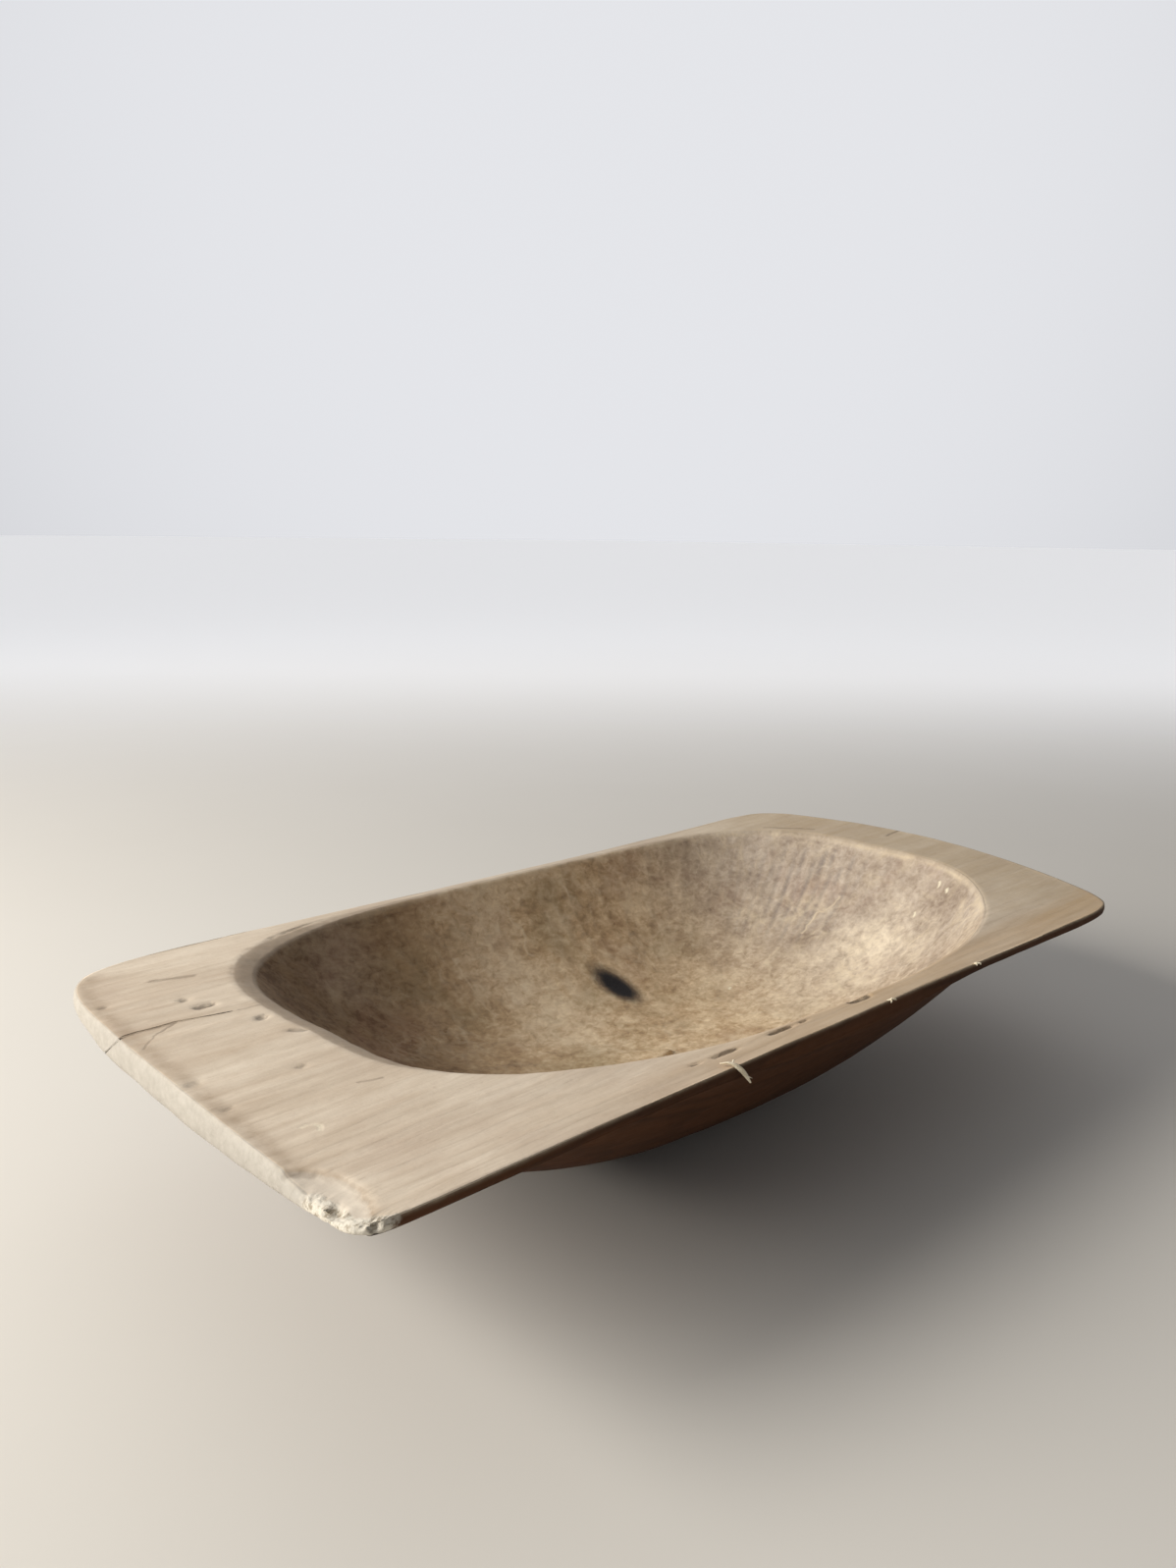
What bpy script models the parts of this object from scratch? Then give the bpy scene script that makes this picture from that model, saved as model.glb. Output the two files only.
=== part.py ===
"""A long trough-shaped bowl carved from one half log, with a plain shelf at each end.

Metres, +Z up. The bowl stands on z = 0. Its length runs along X, from the square end at -X to the
bowed end at +X, and the origin lies under the middle of its box. Every level of the bowl is a closed
ring of stations, one for each direction seen from above, and neighbouring rings are bridged.
"""

import math

import bmesh
import bpy
import numpy as np
from mathutils import Matrix, Vector

# ---- Driving sizes of the blank -----------------------------------------------------------------
LENGTH = 0.620
WIDTH = 0.310
RIM_HEIGHT = 0.109  # the rim plane above the table, before the board warped
HALF_WIDTH = WIDTH / 2

# ---- Outline of the rim, seen from above --------------------------------------------------------
# A squared oval for each corner: a higher power is a sharper corner.
# The order is +X+Y, -X+Y, -X-Y, +X-Y.
OUTLINE_POWERS = (15.6, 9.7, 30.0, 21.5)
SQUARE_END_BOW = 0.002  # how far the middle of each end stands out past its corners
ROUND_END_BOW = 0.037
OUTLINE_HALF = (LENGTH - SQUARE_END_BOW - ROUND_END_BOW) / 2
OUTLINE_MIDDLE = (SQUARE_END_BOW - ROUND_END_BOW) / 2
ARRIS = 0.002  # the worn upper edge

# ---- The hollow ---------------------------------------------------------------------------------
HOLLOW_MIDDLE = (0.014, 0.001)
HOLLOW_HALF = (0.245, 0.147)
HOLLOW_POWERS = (3.84, 3.84, 2.74, 2.15)
HOLLOW_SKEW = -0.063  # the carver's oval leans: x shifts by this much of y
HOLLOW_DEPTH = 0.086
SIDE_WALL_POWER = 2.5  # a higher power is a steeper wall and a flatter floor
END_WALL_POWER = 3.5
HOLLOW_RINGS = 13

# ---- The underside ------------------------------------------------------------------------------
KEEL_MIDDLE = 0.010
KEEL_TO_SQUARE_END = 0.3156
KEEL_TO_ROUND_END = 0.2849
KEEL_POWERS = (3.4, 3.4, 3.0, 2.1)  # square enough at each corner to leave a wall round the hollow
BELLY_DEPTH = 0.107
BELLY_POWER = 2.035
SIDE_EDGE = 0.005  # thickness of the wood at the rim's outer edge
SHELF_EDGE = 0.018  # thickness in the middle of a shelf
SHELF_FILLET = 0.010  # how softly the belly runs out into the shelves
UNDERSIDE_RINGS = 14
ALL_OUTLINE_FROM = 0.30  # inside this share of the way out, the rings are plain ovals

# ---- The warp of the rim plane ------------------------------------------------------------------
TWIST = (0.0020, 0.0026)
ROUND_END_LIFT = (0.0013, 0.0017)
CUPPING = (0.0004, 0.0016)

# ---- The dead knot in the far slope of the hollow -----------------------------------------------
KNOT_PLACE = (0.036, 0.077)
KNOT_LONG = 0.034
KNOT_SHORT = 0.014
KNOT_TURN = math.radians(-63)
KNOT_DEEP = 0.009
KNOT_TAPER = 0.7
GAP = 0.0003

# ---- The splinter over the edge of the near rim -------------------------------------------------
SPLINTER_PLACE = -0.114
SPLINTER_THICK = 0.0016
SPLINTER_LEAN = 0.007  # how far it slants along the rim as it hangs

STATIONS_PER_EDGE = 30
CORNER_CROWDING = 0.6  # how strongly the stations gather at the corners


def station_angles():
    """Directions round the bowl: four edges, each walked from corner to corner."""
    along = np.linspace(-1, 1, STATIONS_PER_EDGE, endpoint=False)
    crowded = (1 - CORNER_CROWDING) * along + CORNER_CROWDING * np.sin(np.pi * along / 2)
    return np.concatenate([edge * np.pi / 2 + np.arctan(crowded) for edge in range(4)])


ANGLES = station_angles()


def power_at(x, y, powers):
    """The power of the corner that each point lies towards."""
    corner = np.where(y >= 0, np.where(x >= 0, 0, 1), np.where(x < 0, 2, 3))
    return np.array(powers)[corner]


def squared_oval(powers):
    """The oval of half-size 1 whose corners have these powers, in the four quadrants in turn."""
    cosine = np.cos(ANGLES)
    sine = np.sin(ANGLES)
    power = power_at(cosine, sine, powers)
    reach = (np.abs(cosine) ** power + np.abs(sine) ** power) ** (-1 / power)
    return reach * cosine, reach * sine


def outline():
    """The outer edge of the rim: straight sides, and ends that bow outwards."""
    across, up = squared_oval(OUTLINE_POWERS)
    bow = np.where(across > 0, ROUND_END_BOW, -SQUARE_END_BOW) * (1 - up**2) * across**4
    return OUTLINE_MIDDLE + OUTLINE_HALF * across + bow, HALF_WIDTH * up


def hollow_edge():
    """The edge of the hollow: a leaning oval, squarer on the far side."""
    across, up = squared_oval(HOLLOW_POWERS)
    y = HOLLOW_HALF[1] * up
    return HOLLOW_MIDDLE[0] + HOLLOW_HALF[0] * across + HOLLOW_SKEW * y, HOLLOW_MIDDLE[1] + y


def rim_warp(x, y):
    """How far the rim plane has moved up: it twists, lifts at the bowed end, and cups there."""
    along = 2 * x / LENGTH
    over = 2 * y / WIDTH
    twist = (TWIST[0] * along + TWIST[1] * along**2) * over
    lift = ROUND_END_LIFT[0] * along**2 + ROUND_END_LIFT[1] * along**3
    return twist + lift - (CUPPING[0] + CUPPING[1] * along) * over**2


def rim(x, y):
    return RIM_HEIGHT + rim_warp(x, y)


def softer_max(a, b, width):
    """The greater of a and b, rounded where they are nearly equal."""
    near = np.maximum(width - np.abs(a - b), 0) / width
    return np.maximum(a, b) + near**2 * width / 4


def underside(x, y):
    """Height of the underside: an oval belly that runs out into the two thin shelves."""
    to_end = np.where(x < KEEL_MIDDLE, KEEL_TO_SQUARE_END, KEEL_TO_ROUND_END)
    power = power_at(x - KEEL_MIDDLE, y, KEEL_POWERS)
    along = np.abs(x - KEEL_MIDDLE) / to_end
    over = np.minimum(np.abs(y) / HALF_WIDTH, 1)
    from_keel = (along**power + over**power) ** (1 / power)
    belly = SIDE_EDGE + BELLY_DEPTH * (1 - from_keel**BELLY_POWER)
    shelf = SIDE_EDGE + (SHELF_EDGE - SIDE_EDGE) * (1 - over**2)
    below_rim = np.minimum(softer_max(belly, shelf, SHELF_FILLET), RIM_HEIGHT)
    height = RIM_HEIGHT - below_rim
    return height + rim_warp(x, y) * height / RIM_HEIGHT


def keel_ring(out):
    """The ring of the underside this share of the way from the keel to the outline."""
    across, up = squared_oval(KEEL_POWERS)
    to_end = np.where(across < 0, KEEL_TO_SQUARE_END, KEEL_TO_ROUND_END)
    oval = (to_end * across, HALF_WIDTH * up)
    edge_x, edge_y = outline()
    rise = min(max((out - ALL_OUTLINE_FROM) / (1 - ALL_OUTLINE_FROM), 0), 1)
    squared = rise * rise * (3 - 2 * rise)
    x = KEEL_MIDDLE + out * ((1 - squared) * oval[0] + squared * (edge_x - KEEL_MIDDLE))
    y = out * ((1 - squared) * oval[1] + squared * edge_y)
    return np.stack([x, y, underside(x, y)], axis=1)


def foot_share():
    """The share of the way out at which the belly comes down to the table."""
    return (1 - (RIM_HEIGHT - SIDE_EDGE) / BELLY_DEPTH) ** (1 / BELLY_POWER)


def foot_ring():
    ring = keel_ring(foot_share())
    ring[:, 2] = 0
    return ring


def edge_rings():
    """The upper edge of the outer face, then the rim plane just inside it."""
    x, y = outline()
    inner_x = x * (1 - 2 * ARRIS / LENGTH)
    inner_y = y * (1 - 2 * ARRIS / WIDTH)
    outer = np.stack([x, y, rim(x, y) - ARRIS], axis=1)
    inner = np.stack([inner_x, inner_y, rim(inner_x, inner_y)], axis=1)
    return [outer, inner]


def hollow_ring(share):
    """The ring of the hollow at this share of the way from its middle to its edge."""
    edge_x, edge_y = hollow_edge()
    x = HOLLOW_MIDDLE[0] + share * (edge_x - HOLLOW_MIDDLE[0])
    y = HOLLOW_MIDDLE[1] + share * (edge_y - HOLLOW_MIDDLE[1])
    wall_power = SIDE_WALL_POWER + (END_WALL_POWER - SIDE_WALL_POWER) * np.cos(ANGLES) ** 2
    return np.stack([x, y, rim(x, y) - HOLLOW_DEPTH * (1 - share**wall_power)], axis=1)


def wood(name, colour, roughness):
    material = bpy.data.materials.new(name)
    material.use_nodes = True
    shader = material.node_tree.nodes["Principled BSDF"]
    shader.inputs["Base Color"].default_value = (*colour, 1)
    shader.inputs["Roughness"].default_value = roughness
    shader.inputs["Metallic"].default_value = 0
    material.diffuse_color = (*colour, 1)
    return material


def add_object(name, data, material):
    piece = bpy.data.objects.new(name, data)
    data.materials.append(material)
    bpy.context.scene.collection.objects.link(piece)
    return piece


def helper(name, data):
    """An object that only cuts, so it stays out of the model."""
    tool = bpy.data.objects.new(name, data)
    bpy.context.scene.collection.objects.link(tool)
    tool.hide_render = True
    tool.display_type = "WIRE"
    return tool


def boolean(piece, operation, tool):
    modifier = piece.modifiers.new(operation.title(), "BOOLEAN")
    modifier.operation = operation
    modifier.solver = "EXACT"
    modifier.object = tool


def bowl_mesh():
    """Bridges the rings from the foot, out under the belly, over the rim and down into the hollow."""
    steps = np.linspace(foot_share(), 1, UNDERSIDE_RINGS)[1:]
    shares = np.sin(np.linspace(1, 0, HOLLOW_RINGS, endpoint=False) * np.pi / 2)
    rings = [foot_ring()]
    rings += [keel_ring(step) for step in steps]
    rings += edge_rings()
    rings += [hollow_ring(share) for share in shares]
    bm = bmesh.new()
    loops = []
    for ring in rings:
        corners = [bm.verts.new(point) for point in ring]
        edges = [bm.edges.new(pair) for pair in zip(corners, corners[1:] + corners[:1])]
        loops.append(edges)
    for lower, upper in zip(loops, loops[1:]):
        bmesh.ops.bridge_loops(bm, edges=lower + upper)
    bmesh.ops.contextual_create(bm, geom=loops[0])
    floor = bmesh.ops.contextual_create(bm, geom=loops[-1])["faces"]
    bmesh.ops.poke(bm, faces=floor)
    bmesh.ops.recalc_face_normals(bm, faces=bm.faces)
    mesh = bpy.data.meshes.new("bowl_body")
    bm.to_mesh(mesh)
    bm.free()
    mesh.shade_smooth()
    mesh.set_sharp_from_angle(angle=math.radians(35))
    return mesh


def knot_frame(bowl):
    """Where a plumb line meets the hollow at the knot, with Z out of the wood and X along the oval."""
    above = Vector((*KNOT_PLACE, 2 * RIM_HEIGHT))
    _, place, outwards, _ = bowl.ray_cast(above, Vector((0, 0, -1)))
    long_way = Vector((math.cos(KNOT_TURN), math.sin(KNOT_TURN), 0))
    along = (long_way - outwards * long_way.dot(outwards)).normalized()
    turn = Matrix((along, outwards.cross(along), outwards)).transposed()
    return Matrix.Translation(place) @ turn.to_4x4()


def knot_mesh(name, extra):
    """A tapered oval plug about Z = 0, larger all round by extra."""
    above = 0.006
    bm = bmesh.new()
    bmesh.ops.create_cone(bm, cap_ends=True, segments=40, radius1=KNOT_TAPER, radius2=1, depth=1)
    height = KNOT_DEEP + extra + above
    size = Matrix.Diagonal((KNOT_LONG / 2 + extra, KNOT_SHORT / 2 + extra, height, 1))
    bmesh.ops.transform(bm, matrix=size, verts=bm.verts)
    bmesh.ops.translate(bm, vec=(0, 0, above - height / 2), verts=bm.verts)
    mesh = bpy.data.meshes.new(name)
    bm.to_mesh(mesh)
    bm.free()
    return mesh


def make_bowl():
    material = wood("weathered_wood", (0.36, 0.27, 0.19), 0.75)
    return add_object("bowl_body", bowl_mesh(), material)


def make_knot(bowl):
    """A plug trimmed flush with the hollow, in a pocket that clears it all round."""
    place = knot_frame(bowl)
    uncut = helper("uncut_bowl", bowl.data.copy())
    pocket = helper("knot_pocket", knot_mesh("knot_pocket", GAP))
    pocket.matrix_world = place
    plug = add_object("floor_knot", knot_mesh("floor_knot", 0), wood("dark_knot", (0.03, 0.025, 0.02), 0.7))
    plug.matrix_world = place
    boolean(plug, "INTERSECT", uncut)
    boolean(bowl, "DIFFERENCE", pocket)


def make_splinter():
    """A sliver bent over the near rim: its head lies on the rim and its tail hangs outside."""
    radius = SPLINTER_THICK / 2
    clear = GAP + radius
    edge = -HALF_WIDTH
    top = rim(SPLINTER_PLACE, edge)
    bend = ARRIS + clear
    arc = np.linspace(0, math.pi / 2, 5)
    across = [edge + ARRIS + 0.003]
    across += list(edge + ARRIS - bend * np.sin(arc))
    across += [edge - clear - 0.0005, edge - clear - 0.0009]
    height = [top + clear]
    height += list(top - ARRIS + bend * np.cos(arc))
    height += [top - 0.0055, top - 0.0085]
    curve = bpy.data.curves.new("rim_splinter", "CURVE")
    curve.dimensions = "3D"
    curve.bevel_depth = radius
    curve.bevel_resolution = 2
    curve.use_fill_caps = True
    spline = curve.splines.new("POLY")
    spline.points.add(len(across) - 1)
    for number, point in enumerate(spline.points):
        way = number / (len(across) - 1)
        point.co = (SPLINTER_PLACE + SPLINTER_LEAN * way, across[number], height[number], 1)
        point.radius = 0.55 + 0.45 * math.sin(math.pi * way)
    add_object("rim_splinter", curve, wood("pale_splinter", (0.72, 0.66, 0.52), 0.6))


def clear_scene():
    for thing in list(bpy.data.objects):
        bpy.data.objects.remove(thing, do_unlink=True)


clear_scene()
bowl_body = make_bowl()
bpy.context.view_layer.update()
make_knot(bowl_body)
make_splinter()
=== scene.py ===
# %% [markdown]
# # A trough bowl carved from one half log
#
# The bowl is one piece of weathered hardwood: a long oval hollow, two thin side walls, and a flat
# shelf left at each end to lift it by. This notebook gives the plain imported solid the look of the
# real thing. The solid settles where everything is; here the surface gets its tool marks, cracks,
# chips and wear, and its wood.

import math

import bpy
import numpy as np
from mathutils import Matrix, Vector


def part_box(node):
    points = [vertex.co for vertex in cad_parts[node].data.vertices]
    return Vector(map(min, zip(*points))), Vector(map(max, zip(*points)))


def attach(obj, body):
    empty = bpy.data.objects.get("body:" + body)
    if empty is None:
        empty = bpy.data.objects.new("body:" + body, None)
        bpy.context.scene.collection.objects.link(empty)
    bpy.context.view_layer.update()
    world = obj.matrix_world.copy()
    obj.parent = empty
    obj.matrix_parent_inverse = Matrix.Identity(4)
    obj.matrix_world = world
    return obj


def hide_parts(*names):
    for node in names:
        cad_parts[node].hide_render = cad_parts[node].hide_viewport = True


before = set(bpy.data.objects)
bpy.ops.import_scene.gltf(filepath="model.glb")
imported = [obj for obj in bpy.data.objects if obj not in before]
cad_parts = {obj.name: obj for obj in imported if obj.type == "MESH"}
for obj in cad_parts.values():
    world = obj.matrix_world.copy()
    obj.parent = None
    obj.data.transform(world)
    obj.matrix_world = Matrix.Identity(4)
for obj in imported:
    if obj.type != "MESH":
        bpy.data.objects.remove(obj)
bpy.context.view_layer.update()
bowl_low, bowl_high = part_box("bowl_body")
LENGTH = bowl_high.x - bowl_low.x
WIDTH = bowl_high.y - bowl_low.y
HALF_WIDTH = WIDTH / 2
MM = 0.001
print(f"bowl {LENGTH:.3f} x {WIDTH:.3f} x {bowl_high.z:.3f} m")

# %% [markdown]
# ## Camera
#
# The bowl is seen from its square end, from about table height plus a hand, so the near long side
# runs away to the right. A fairly wide lens close by gives the strong taper of the two ends.

# %% Camera
CAMERA_AZIMUTH = math.radians(-42.64)
CAMERA_DIP = math.radians(11.92)
CAMERA_ROLL = math.radians(0.737)
CAMERA_PLACE = Vector((-0.494, -0.467, 0.340))
LENS_MM = 27.05


def camera_turn():
    """Rows of the camera's right, up and backward directions, then a small roll about the view."""
    back = Vector((
        math.sin(CAMERA_AZIMUTH) * math.cos(CAMERA_DIP),
        -math.cos(CAMERA_AZIMUTH) * math.cos(CAMERA_DIP),
        math.sin(CAMERA_DIP),
    ))
    right = Vector((0, 0, 1)).cross(back).normalized()
    up = back.cross(right)
    turned_right = math.cos(CAMERA_ROLL) * right + math.sin(CAMERA_ROLL) * up
    turned_up = math.cos(CAMERA_ROLL) * up - math.sin(CAMERA_ROLL) * right
    return Matrix((turned_right, turned_up, back)).transposed()


camera = bpy.data.objects.new("camera", bpy.data.cameras.new("camera"))
bpy.context.scene.collection.objects.link(camera)
camera.data.lens = LENS_MM
camera.data.sensor_width = 36
camera.matrix_world = Matrix.Translation(CAMERA_PLACE) @ camera_turn().to_4x4()
bpy.context.scene.camera = camera
print("camera at", tuple(round(v, 3) for v in CAMERA_PLACE))

# %% [markdown]
# ## Light and floor
#
# One big soft light stands off the square end, a little behind the bowl, like a window. It rakes
# across the shelves, leaves the near side and the square end of the hollow in shade, and fades
# along the length. A dim sky, brighter beyond the bowl as before a pale wall, fills the shade. The
# floor is plain and pale.

# %% Light, sky and floor
KEY_PLACE = Vector((-1.72, 0.82, 1.04))
KEY_AIM = Vector((0.05, 0.0, 0.08))
KEY_SIZE = 1.12
KEY_WATTS = 58
SKY_STRENGTH = 0.20
BACKDROP_STRENGTH = 0.82
BACKDROP_WAY = (0.65, 0.71, 0.28)
BACKDROP_FROM = 0.45  # the cosine off that way at which the sky begins to brighten
FLOOR_HALF = 60.0


def soft_light(name, place, aim, size, watts, colour):
    """A square area light at place, facing aim."""
    data = bpy.data.lights.new(name, "AREA")
    data.shape = "SQUARE"
    data.size = size
    data.energy = watts
    data.color = colour
    light = bpy.data.objects.new(name, data)
    bpy.context.scene.collection.objects.link(light)
    light.location = place
    light.rotation_euler = (place - aim).to_track_quat("Z", "Y").to_euler()


soft_light("window_light", KEY_PLACE, KEY_AIM, KEY_SIZE, KEY_WATTS, (1.0, 0.97, 0.92))

sky = bpy.data.worlds.new("sky")
sky.use_nodes = True
sky_nodes = sky.node_tree.nodes
sky_links = sky.node_tree.links
sky_nodes["Background"].inputs["Color"].default_value = (0.95, 0.96, 1.0, 1)
direction = sky_nodes.new("ShaderNodeTexCoord")
facing = sky_nodes.new("ShaderNodeVectorMath")
facing.operation = "DOT_PRODUCT"
facing.inputs[1].default_value = BACKDROP_WAY
glow = sky_nodes.new("ShaderNodeMapRange")
glow.interpolation_type = "SMOOTHSTEP"
glow.inputs["From Min"].default_value = BACKDROP_FROM
glow.inputs["From Max"].default_value = 1.0
glow.inputs["To Min"].default_value = SKY_STRENGTH
glow.inputs["To Max"].default_value = BACKDROP_STRENGTH
sky_links.new(direction.outputs["Generated"], facing.inputs[0])
sky_links.new(facing.outputs["Value"], glow.inputs["Value"])
sky_links.new(glow.outputs["Result"], sky_nodes["Background"].inputs["Strength"])
bpy.context.scene.world = sky
bpy.context.scene.view_settings.view_transform = "Standard"

floor_mesh = bpy.data.meshes.new("floor")
floor_corners = [(x * FLOOR_HALF, y * FLOOR_HALF, 0) for x, y in ((-1, -1), (1, -1), (1, 1), (-1, 1))]
floor_mesh.from_pydata(floor_corners, [], [(0, 1, 2, 3)])
floor_object = bpy.data.objects.new("floor", floor_mesh)
bpy.context.scene.collection.objects.link(floor_object)

# %% [markdown]
# ## Roughness made by numbers
#
# Hand-carved wood is never exactly even. Smooth noise gives each surface its small wander: random
# numbers sit at the corners of a lattice and are blended between them. It works on whole arrays of
# points at once, so a hundred thousand points take a moment.

# %% Noise
LATTICE_NUMBERS = 4096
LATTICE_STRIDES = (73856093, 19349663, 83492791)  # large primes, which spread the corners evenly


def lattice_noise(x, y, z, seed):
    """Between -1 and 1: each lattice corner has its own number, and a point blends the eight round
    it with the weight w = 3f^2 - 2f^3 of its distance f past the lower corner along each axis."""
    numbers = np.random.default_rng(seed).uniform(-1, 1, LATTICE_NUMBERS)
    corners = [np.floor(values) for values in (x, y, z)]
    past = [values - corner for values, corner in zip((x, y, z), corners)]
    weights = [part * part * (3 - 2 * part) for part in past]
    whole = [corner.astype(np.int64) for corner in corners]
    total = 0
    for i in (0, 1):
        for j in (0, 1):
            for k in (0, 1):
                place = 0
                for index, step, stride in zip(whole, (i, j, k), LATTICE_STRIDES):
                    place = place ^ (index + step) * stride
                share = 1
                for step, weight in zip((i, j, k), weights):
                    share = share * (weight if step else 1 - weight)
                total = total + share * numbers[place & (LATTICE_NUMBERS - 1)]
    return total


def rough(points, size, seed, octaves=3):
    """Layers of lattice noise, each half as coarse and half as strong as the one before. size is
    the coarsest lump in metres, as one number or one for each axis."""
    size = np.broadcast_to(np.asarray(size, float), (3,))
    total = 0
    for octave in range(octaves):
        scaled = [points[..., axis] / size[axis] * 2**octave for axis in range(3)]
        total = total + lattice_noise(*scaled, seed + octave) / 2**octave
    return total


def soft_step(value, low, high):
    """0 below low and 1 above high (or the other way round), with a smooth rise between."""
    share = np.clip((value - low) / (high - low), 0, 1)
    return share * share * (3 - 2 * share)


def bump(value, middle, width):
    """A bell that is 1 at middle and fades over width."""
    return np.exp(-(((value - middle) / width) ** 2))


# %% [markdown]
# ## The bowl's form
#
# Seen from above, both the rim and the hollow are squared ovals: x^n + y^n = 1, with its own n at
# each corner, because the maker left some corners sharper than others. The walls of the hollow
# follow a power curve down to the floor. The underside is an oval belly that runs out into the
# two shelves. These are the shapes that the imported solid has, worked out again here much finer.

# %% Sizes of the form
RIM_HEIGHT = 0.109
OUTLINE_POWERS = (15.6, 9.7, 30.0, 21.5)  # at +X+Y, -X+Y, -X-Y, +X-Y
SQUARE_END_BOW = 0.002
ROUND_END_BOW = 0.037
OUTLINE_HALF = (LENGTH - SQUARE_END_BOW - ROUND_END_BOW) / 2
OUTLINE_MIDDLE = (SQUARE_END_BOW - ROUND_END_BOW) / 2

HOLLOW_MIDDLE = (0.014, 0.001)
HOLLOW_HALF = (0.245, 0.147)
HOLLOW_POWERS = (3.84, 3.84, 2.74, 2.15)
HOLLOW_SKEW = -0.063
HOLLOW_DEPTH = 0.086
SIDE_WALL_POWER = 2.5
END_WALL_POWER = 3.5

KEEL_MIDDLE = 0.010
KEEL_TO_SQUARE_END = 0.3156
KEEL_TO_ROUND_END = 0.2849
KEEL_POWERS = (3.4, 3.4, 3.0, 2.1)
BELLY_DEPTH = 0.107
BELLY_POWER = 2.035
SIDE_EDGE = 0.005
SHELF_EDGE = 0.018
SHELF_FILLET = 0.010
FOOT_SHARE = (1 - (RIM_HEIGHT - SIDE_EDGE) / BELLY_DEPTH) ** (1 / BELLY_POWER)

TWIST = (0.0020, 0.0026)
ROUND_END_LIFT = (0.0013, 0.0017)
CUPPING = (0.0004, 0.0016)


def power_at(x, y, powers):
    """The power of the corner that each point lies towards."""
    corner = np.where(y >= 0, np.where(x >= 0, 0, 1), np.where(x < 0, 2, 3))
    return np.array(powers)[corner]


def squared_oval(angle, powers):
    """The oval of half-size 1, at each angle: reach = (|cos|^n + |sin|^n)^(-1/n)."""
    cosine = np.cos(angle)
    sine = np.sin(angle)
    power = power_at(cosine, sine, powers)
    reach = (np.abs(cosine) ** power + np.abs(sine) ** power) ** (-1 / power)
    return reach * cosine, reach * sine


def outline(angle):
    """The rim's outer edge. The bow of each end is (1 - v^2) u^4 times how far it stands out."""
    across, up = squared_oval(angle, OUTLINE_POWERS)
    bow = np.where(across > 0, ROUND_END_BOW, -SQUARE_END_BOW) * (1 - up**2) * across**4
    return OUTLINE_MIDDLE + OUTLINE_HALF * across + bow, HALF_WIDTH * up


def hollow_edge(angle):
    """The edge of the hollow, an oval that leans: x moves by a share of y."""
    across, up = squared_oval(angle, HOLLOW_POWERS)
    y = HOLLOW_HALF[1] * up
    return HOLLOW_MIDDLE[0] + HOLLOW_HALF[0] * across + HOLLOW_SKEW * y, HOLLOW_MIDDLE[1] + y


def rim(x, y):
    """Height of the rim plane: level, plus a twist, a lift at the round end, and some cupping."""
    along = 2 * x / LENGTH
    over = 2 * y / WIDTH
    twist = (TWIST[0] * along + TWIST[1] * along**2) * over
    lift = ROUND_END_LIFT[0] * along**2 + ROUND_END_LIFT[1] * along**3
    return RIM_HEIGHT + twist + lift - (CUPPING[0] + CUPPING[1] * along) * over**2


def underside(x, y):
    """Height of the underside: belly depth x (1 - r^p) below the edge, r the squared oval's
    radius, or the shelf's own thickness where that is greater, with a soft fillet between."""
    to_end = np.where(x < KEEL_MIDDLE, KEEL_TO_SQUARE_END, KEEL_TO_ROUND_END)
    power = power_at(x - KEEL_MIDDLE, y, KEEL_POWERS)
    along = np.abs(x - KEEL_MIDDLE) / to_end
    over = np.minimum(np.abs(y) / HALF_WIDTH, 1)
    from_keel = (along**power + over**power) ** (1 / power)
    belly = SIDE_EDGE + BELLY_DEPTH * (1 - from_keel**BELLY_POWER)
    shelf = SIDE_EDGE + (SHELF_EDGE - SIDE_EDGE) * (1 - over**2)
    near = np.maximum(SHELF_FILLET - np.abs(belly - shelf), 0) / SHELF_FILLET
    below_rim = np.maximum(belly, shelf) + near**2 * SHELF_FILLET / 4
    height = RIM_HEIGHT - np.minimum(below_rim, RIM_HEIGHT)
    return height + (rim(x, y) - RIM_HEIGHT) * height / RIM_HEIGHT


# %% [markdown]
# ## Stations and rings
#
# The whole skin is one grid. Its columns are stations, directions round the bowl; its rows are
# rings, from the foot out under the belly, up the edge, over the rim and down into the hollow. The
# stations crowd where there is fine work: the split in the square end, the broken corner, and
# the knot. The split needs a few stations of its own, some tenths of a millimetre apart.

# %% Stations round the bowl
STATIONS = 640
SPLIT_ANGLE = math.radians(161.5)
SPLIT_STATIONS = np.array((-3.4, -1.8, -1.0, -0.55, -0.30, 0, 0.30, 0.55, 1.0, 1.8, 3.4)) * MM
CHIPPED_CORNER = math.radians(221)
KNOT_ANGLE = math.radians(78)


def station_angles():
    """Equal steps of importance: length along the rim, weighted up at the square end and the fine
    places, added up round the bowl and cut into equal shares. Then the nearest few stations move
    on to the split."""
    angle = np.linspace(0, 2 * np.pi, 20001)
    x, y = outline(angle)
    stretch = np.hypot(np.gradient(x), np.gradient(y))
    weight = 1 + soft_step(np.abs(angle - np.pi), 0.95, 0.75)
    weight = weight + 2.2 * bump(angle, SPLIT_ANGLE, 0.05) + 3.5 * bump(angle, CHIPPED_CORNER, 0.11)
    weight = weight + 1.2 * bump(angle, KNOT_ANGLE, 0.2)
    added = np.concatenate([[0], np.cumsum((stretch * weight)[1:])])
    wanted = np.linspace(0, added[-1], STATIONS, endpoint=False)
    angles = np.interp(wanted, added, angle)
    per_metre = np.cos(SPLIT_ANGLE) ** 2 / HALF_WIDTH
    first = np.searchsorted(angles, SPLIT_ANGLE) - len(SPLIT_STATIONS) // 2
    angles[first : first + len(SPLIT_STATIONS)] = SPLIT_ANGLE + SPLIT_STATIONS * per_metre
    return angles


ANGLES = station_angles()
print(STATIONS, "stations, in order:", bool((np.diff(ANGLES) > 0).all()))

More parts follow.
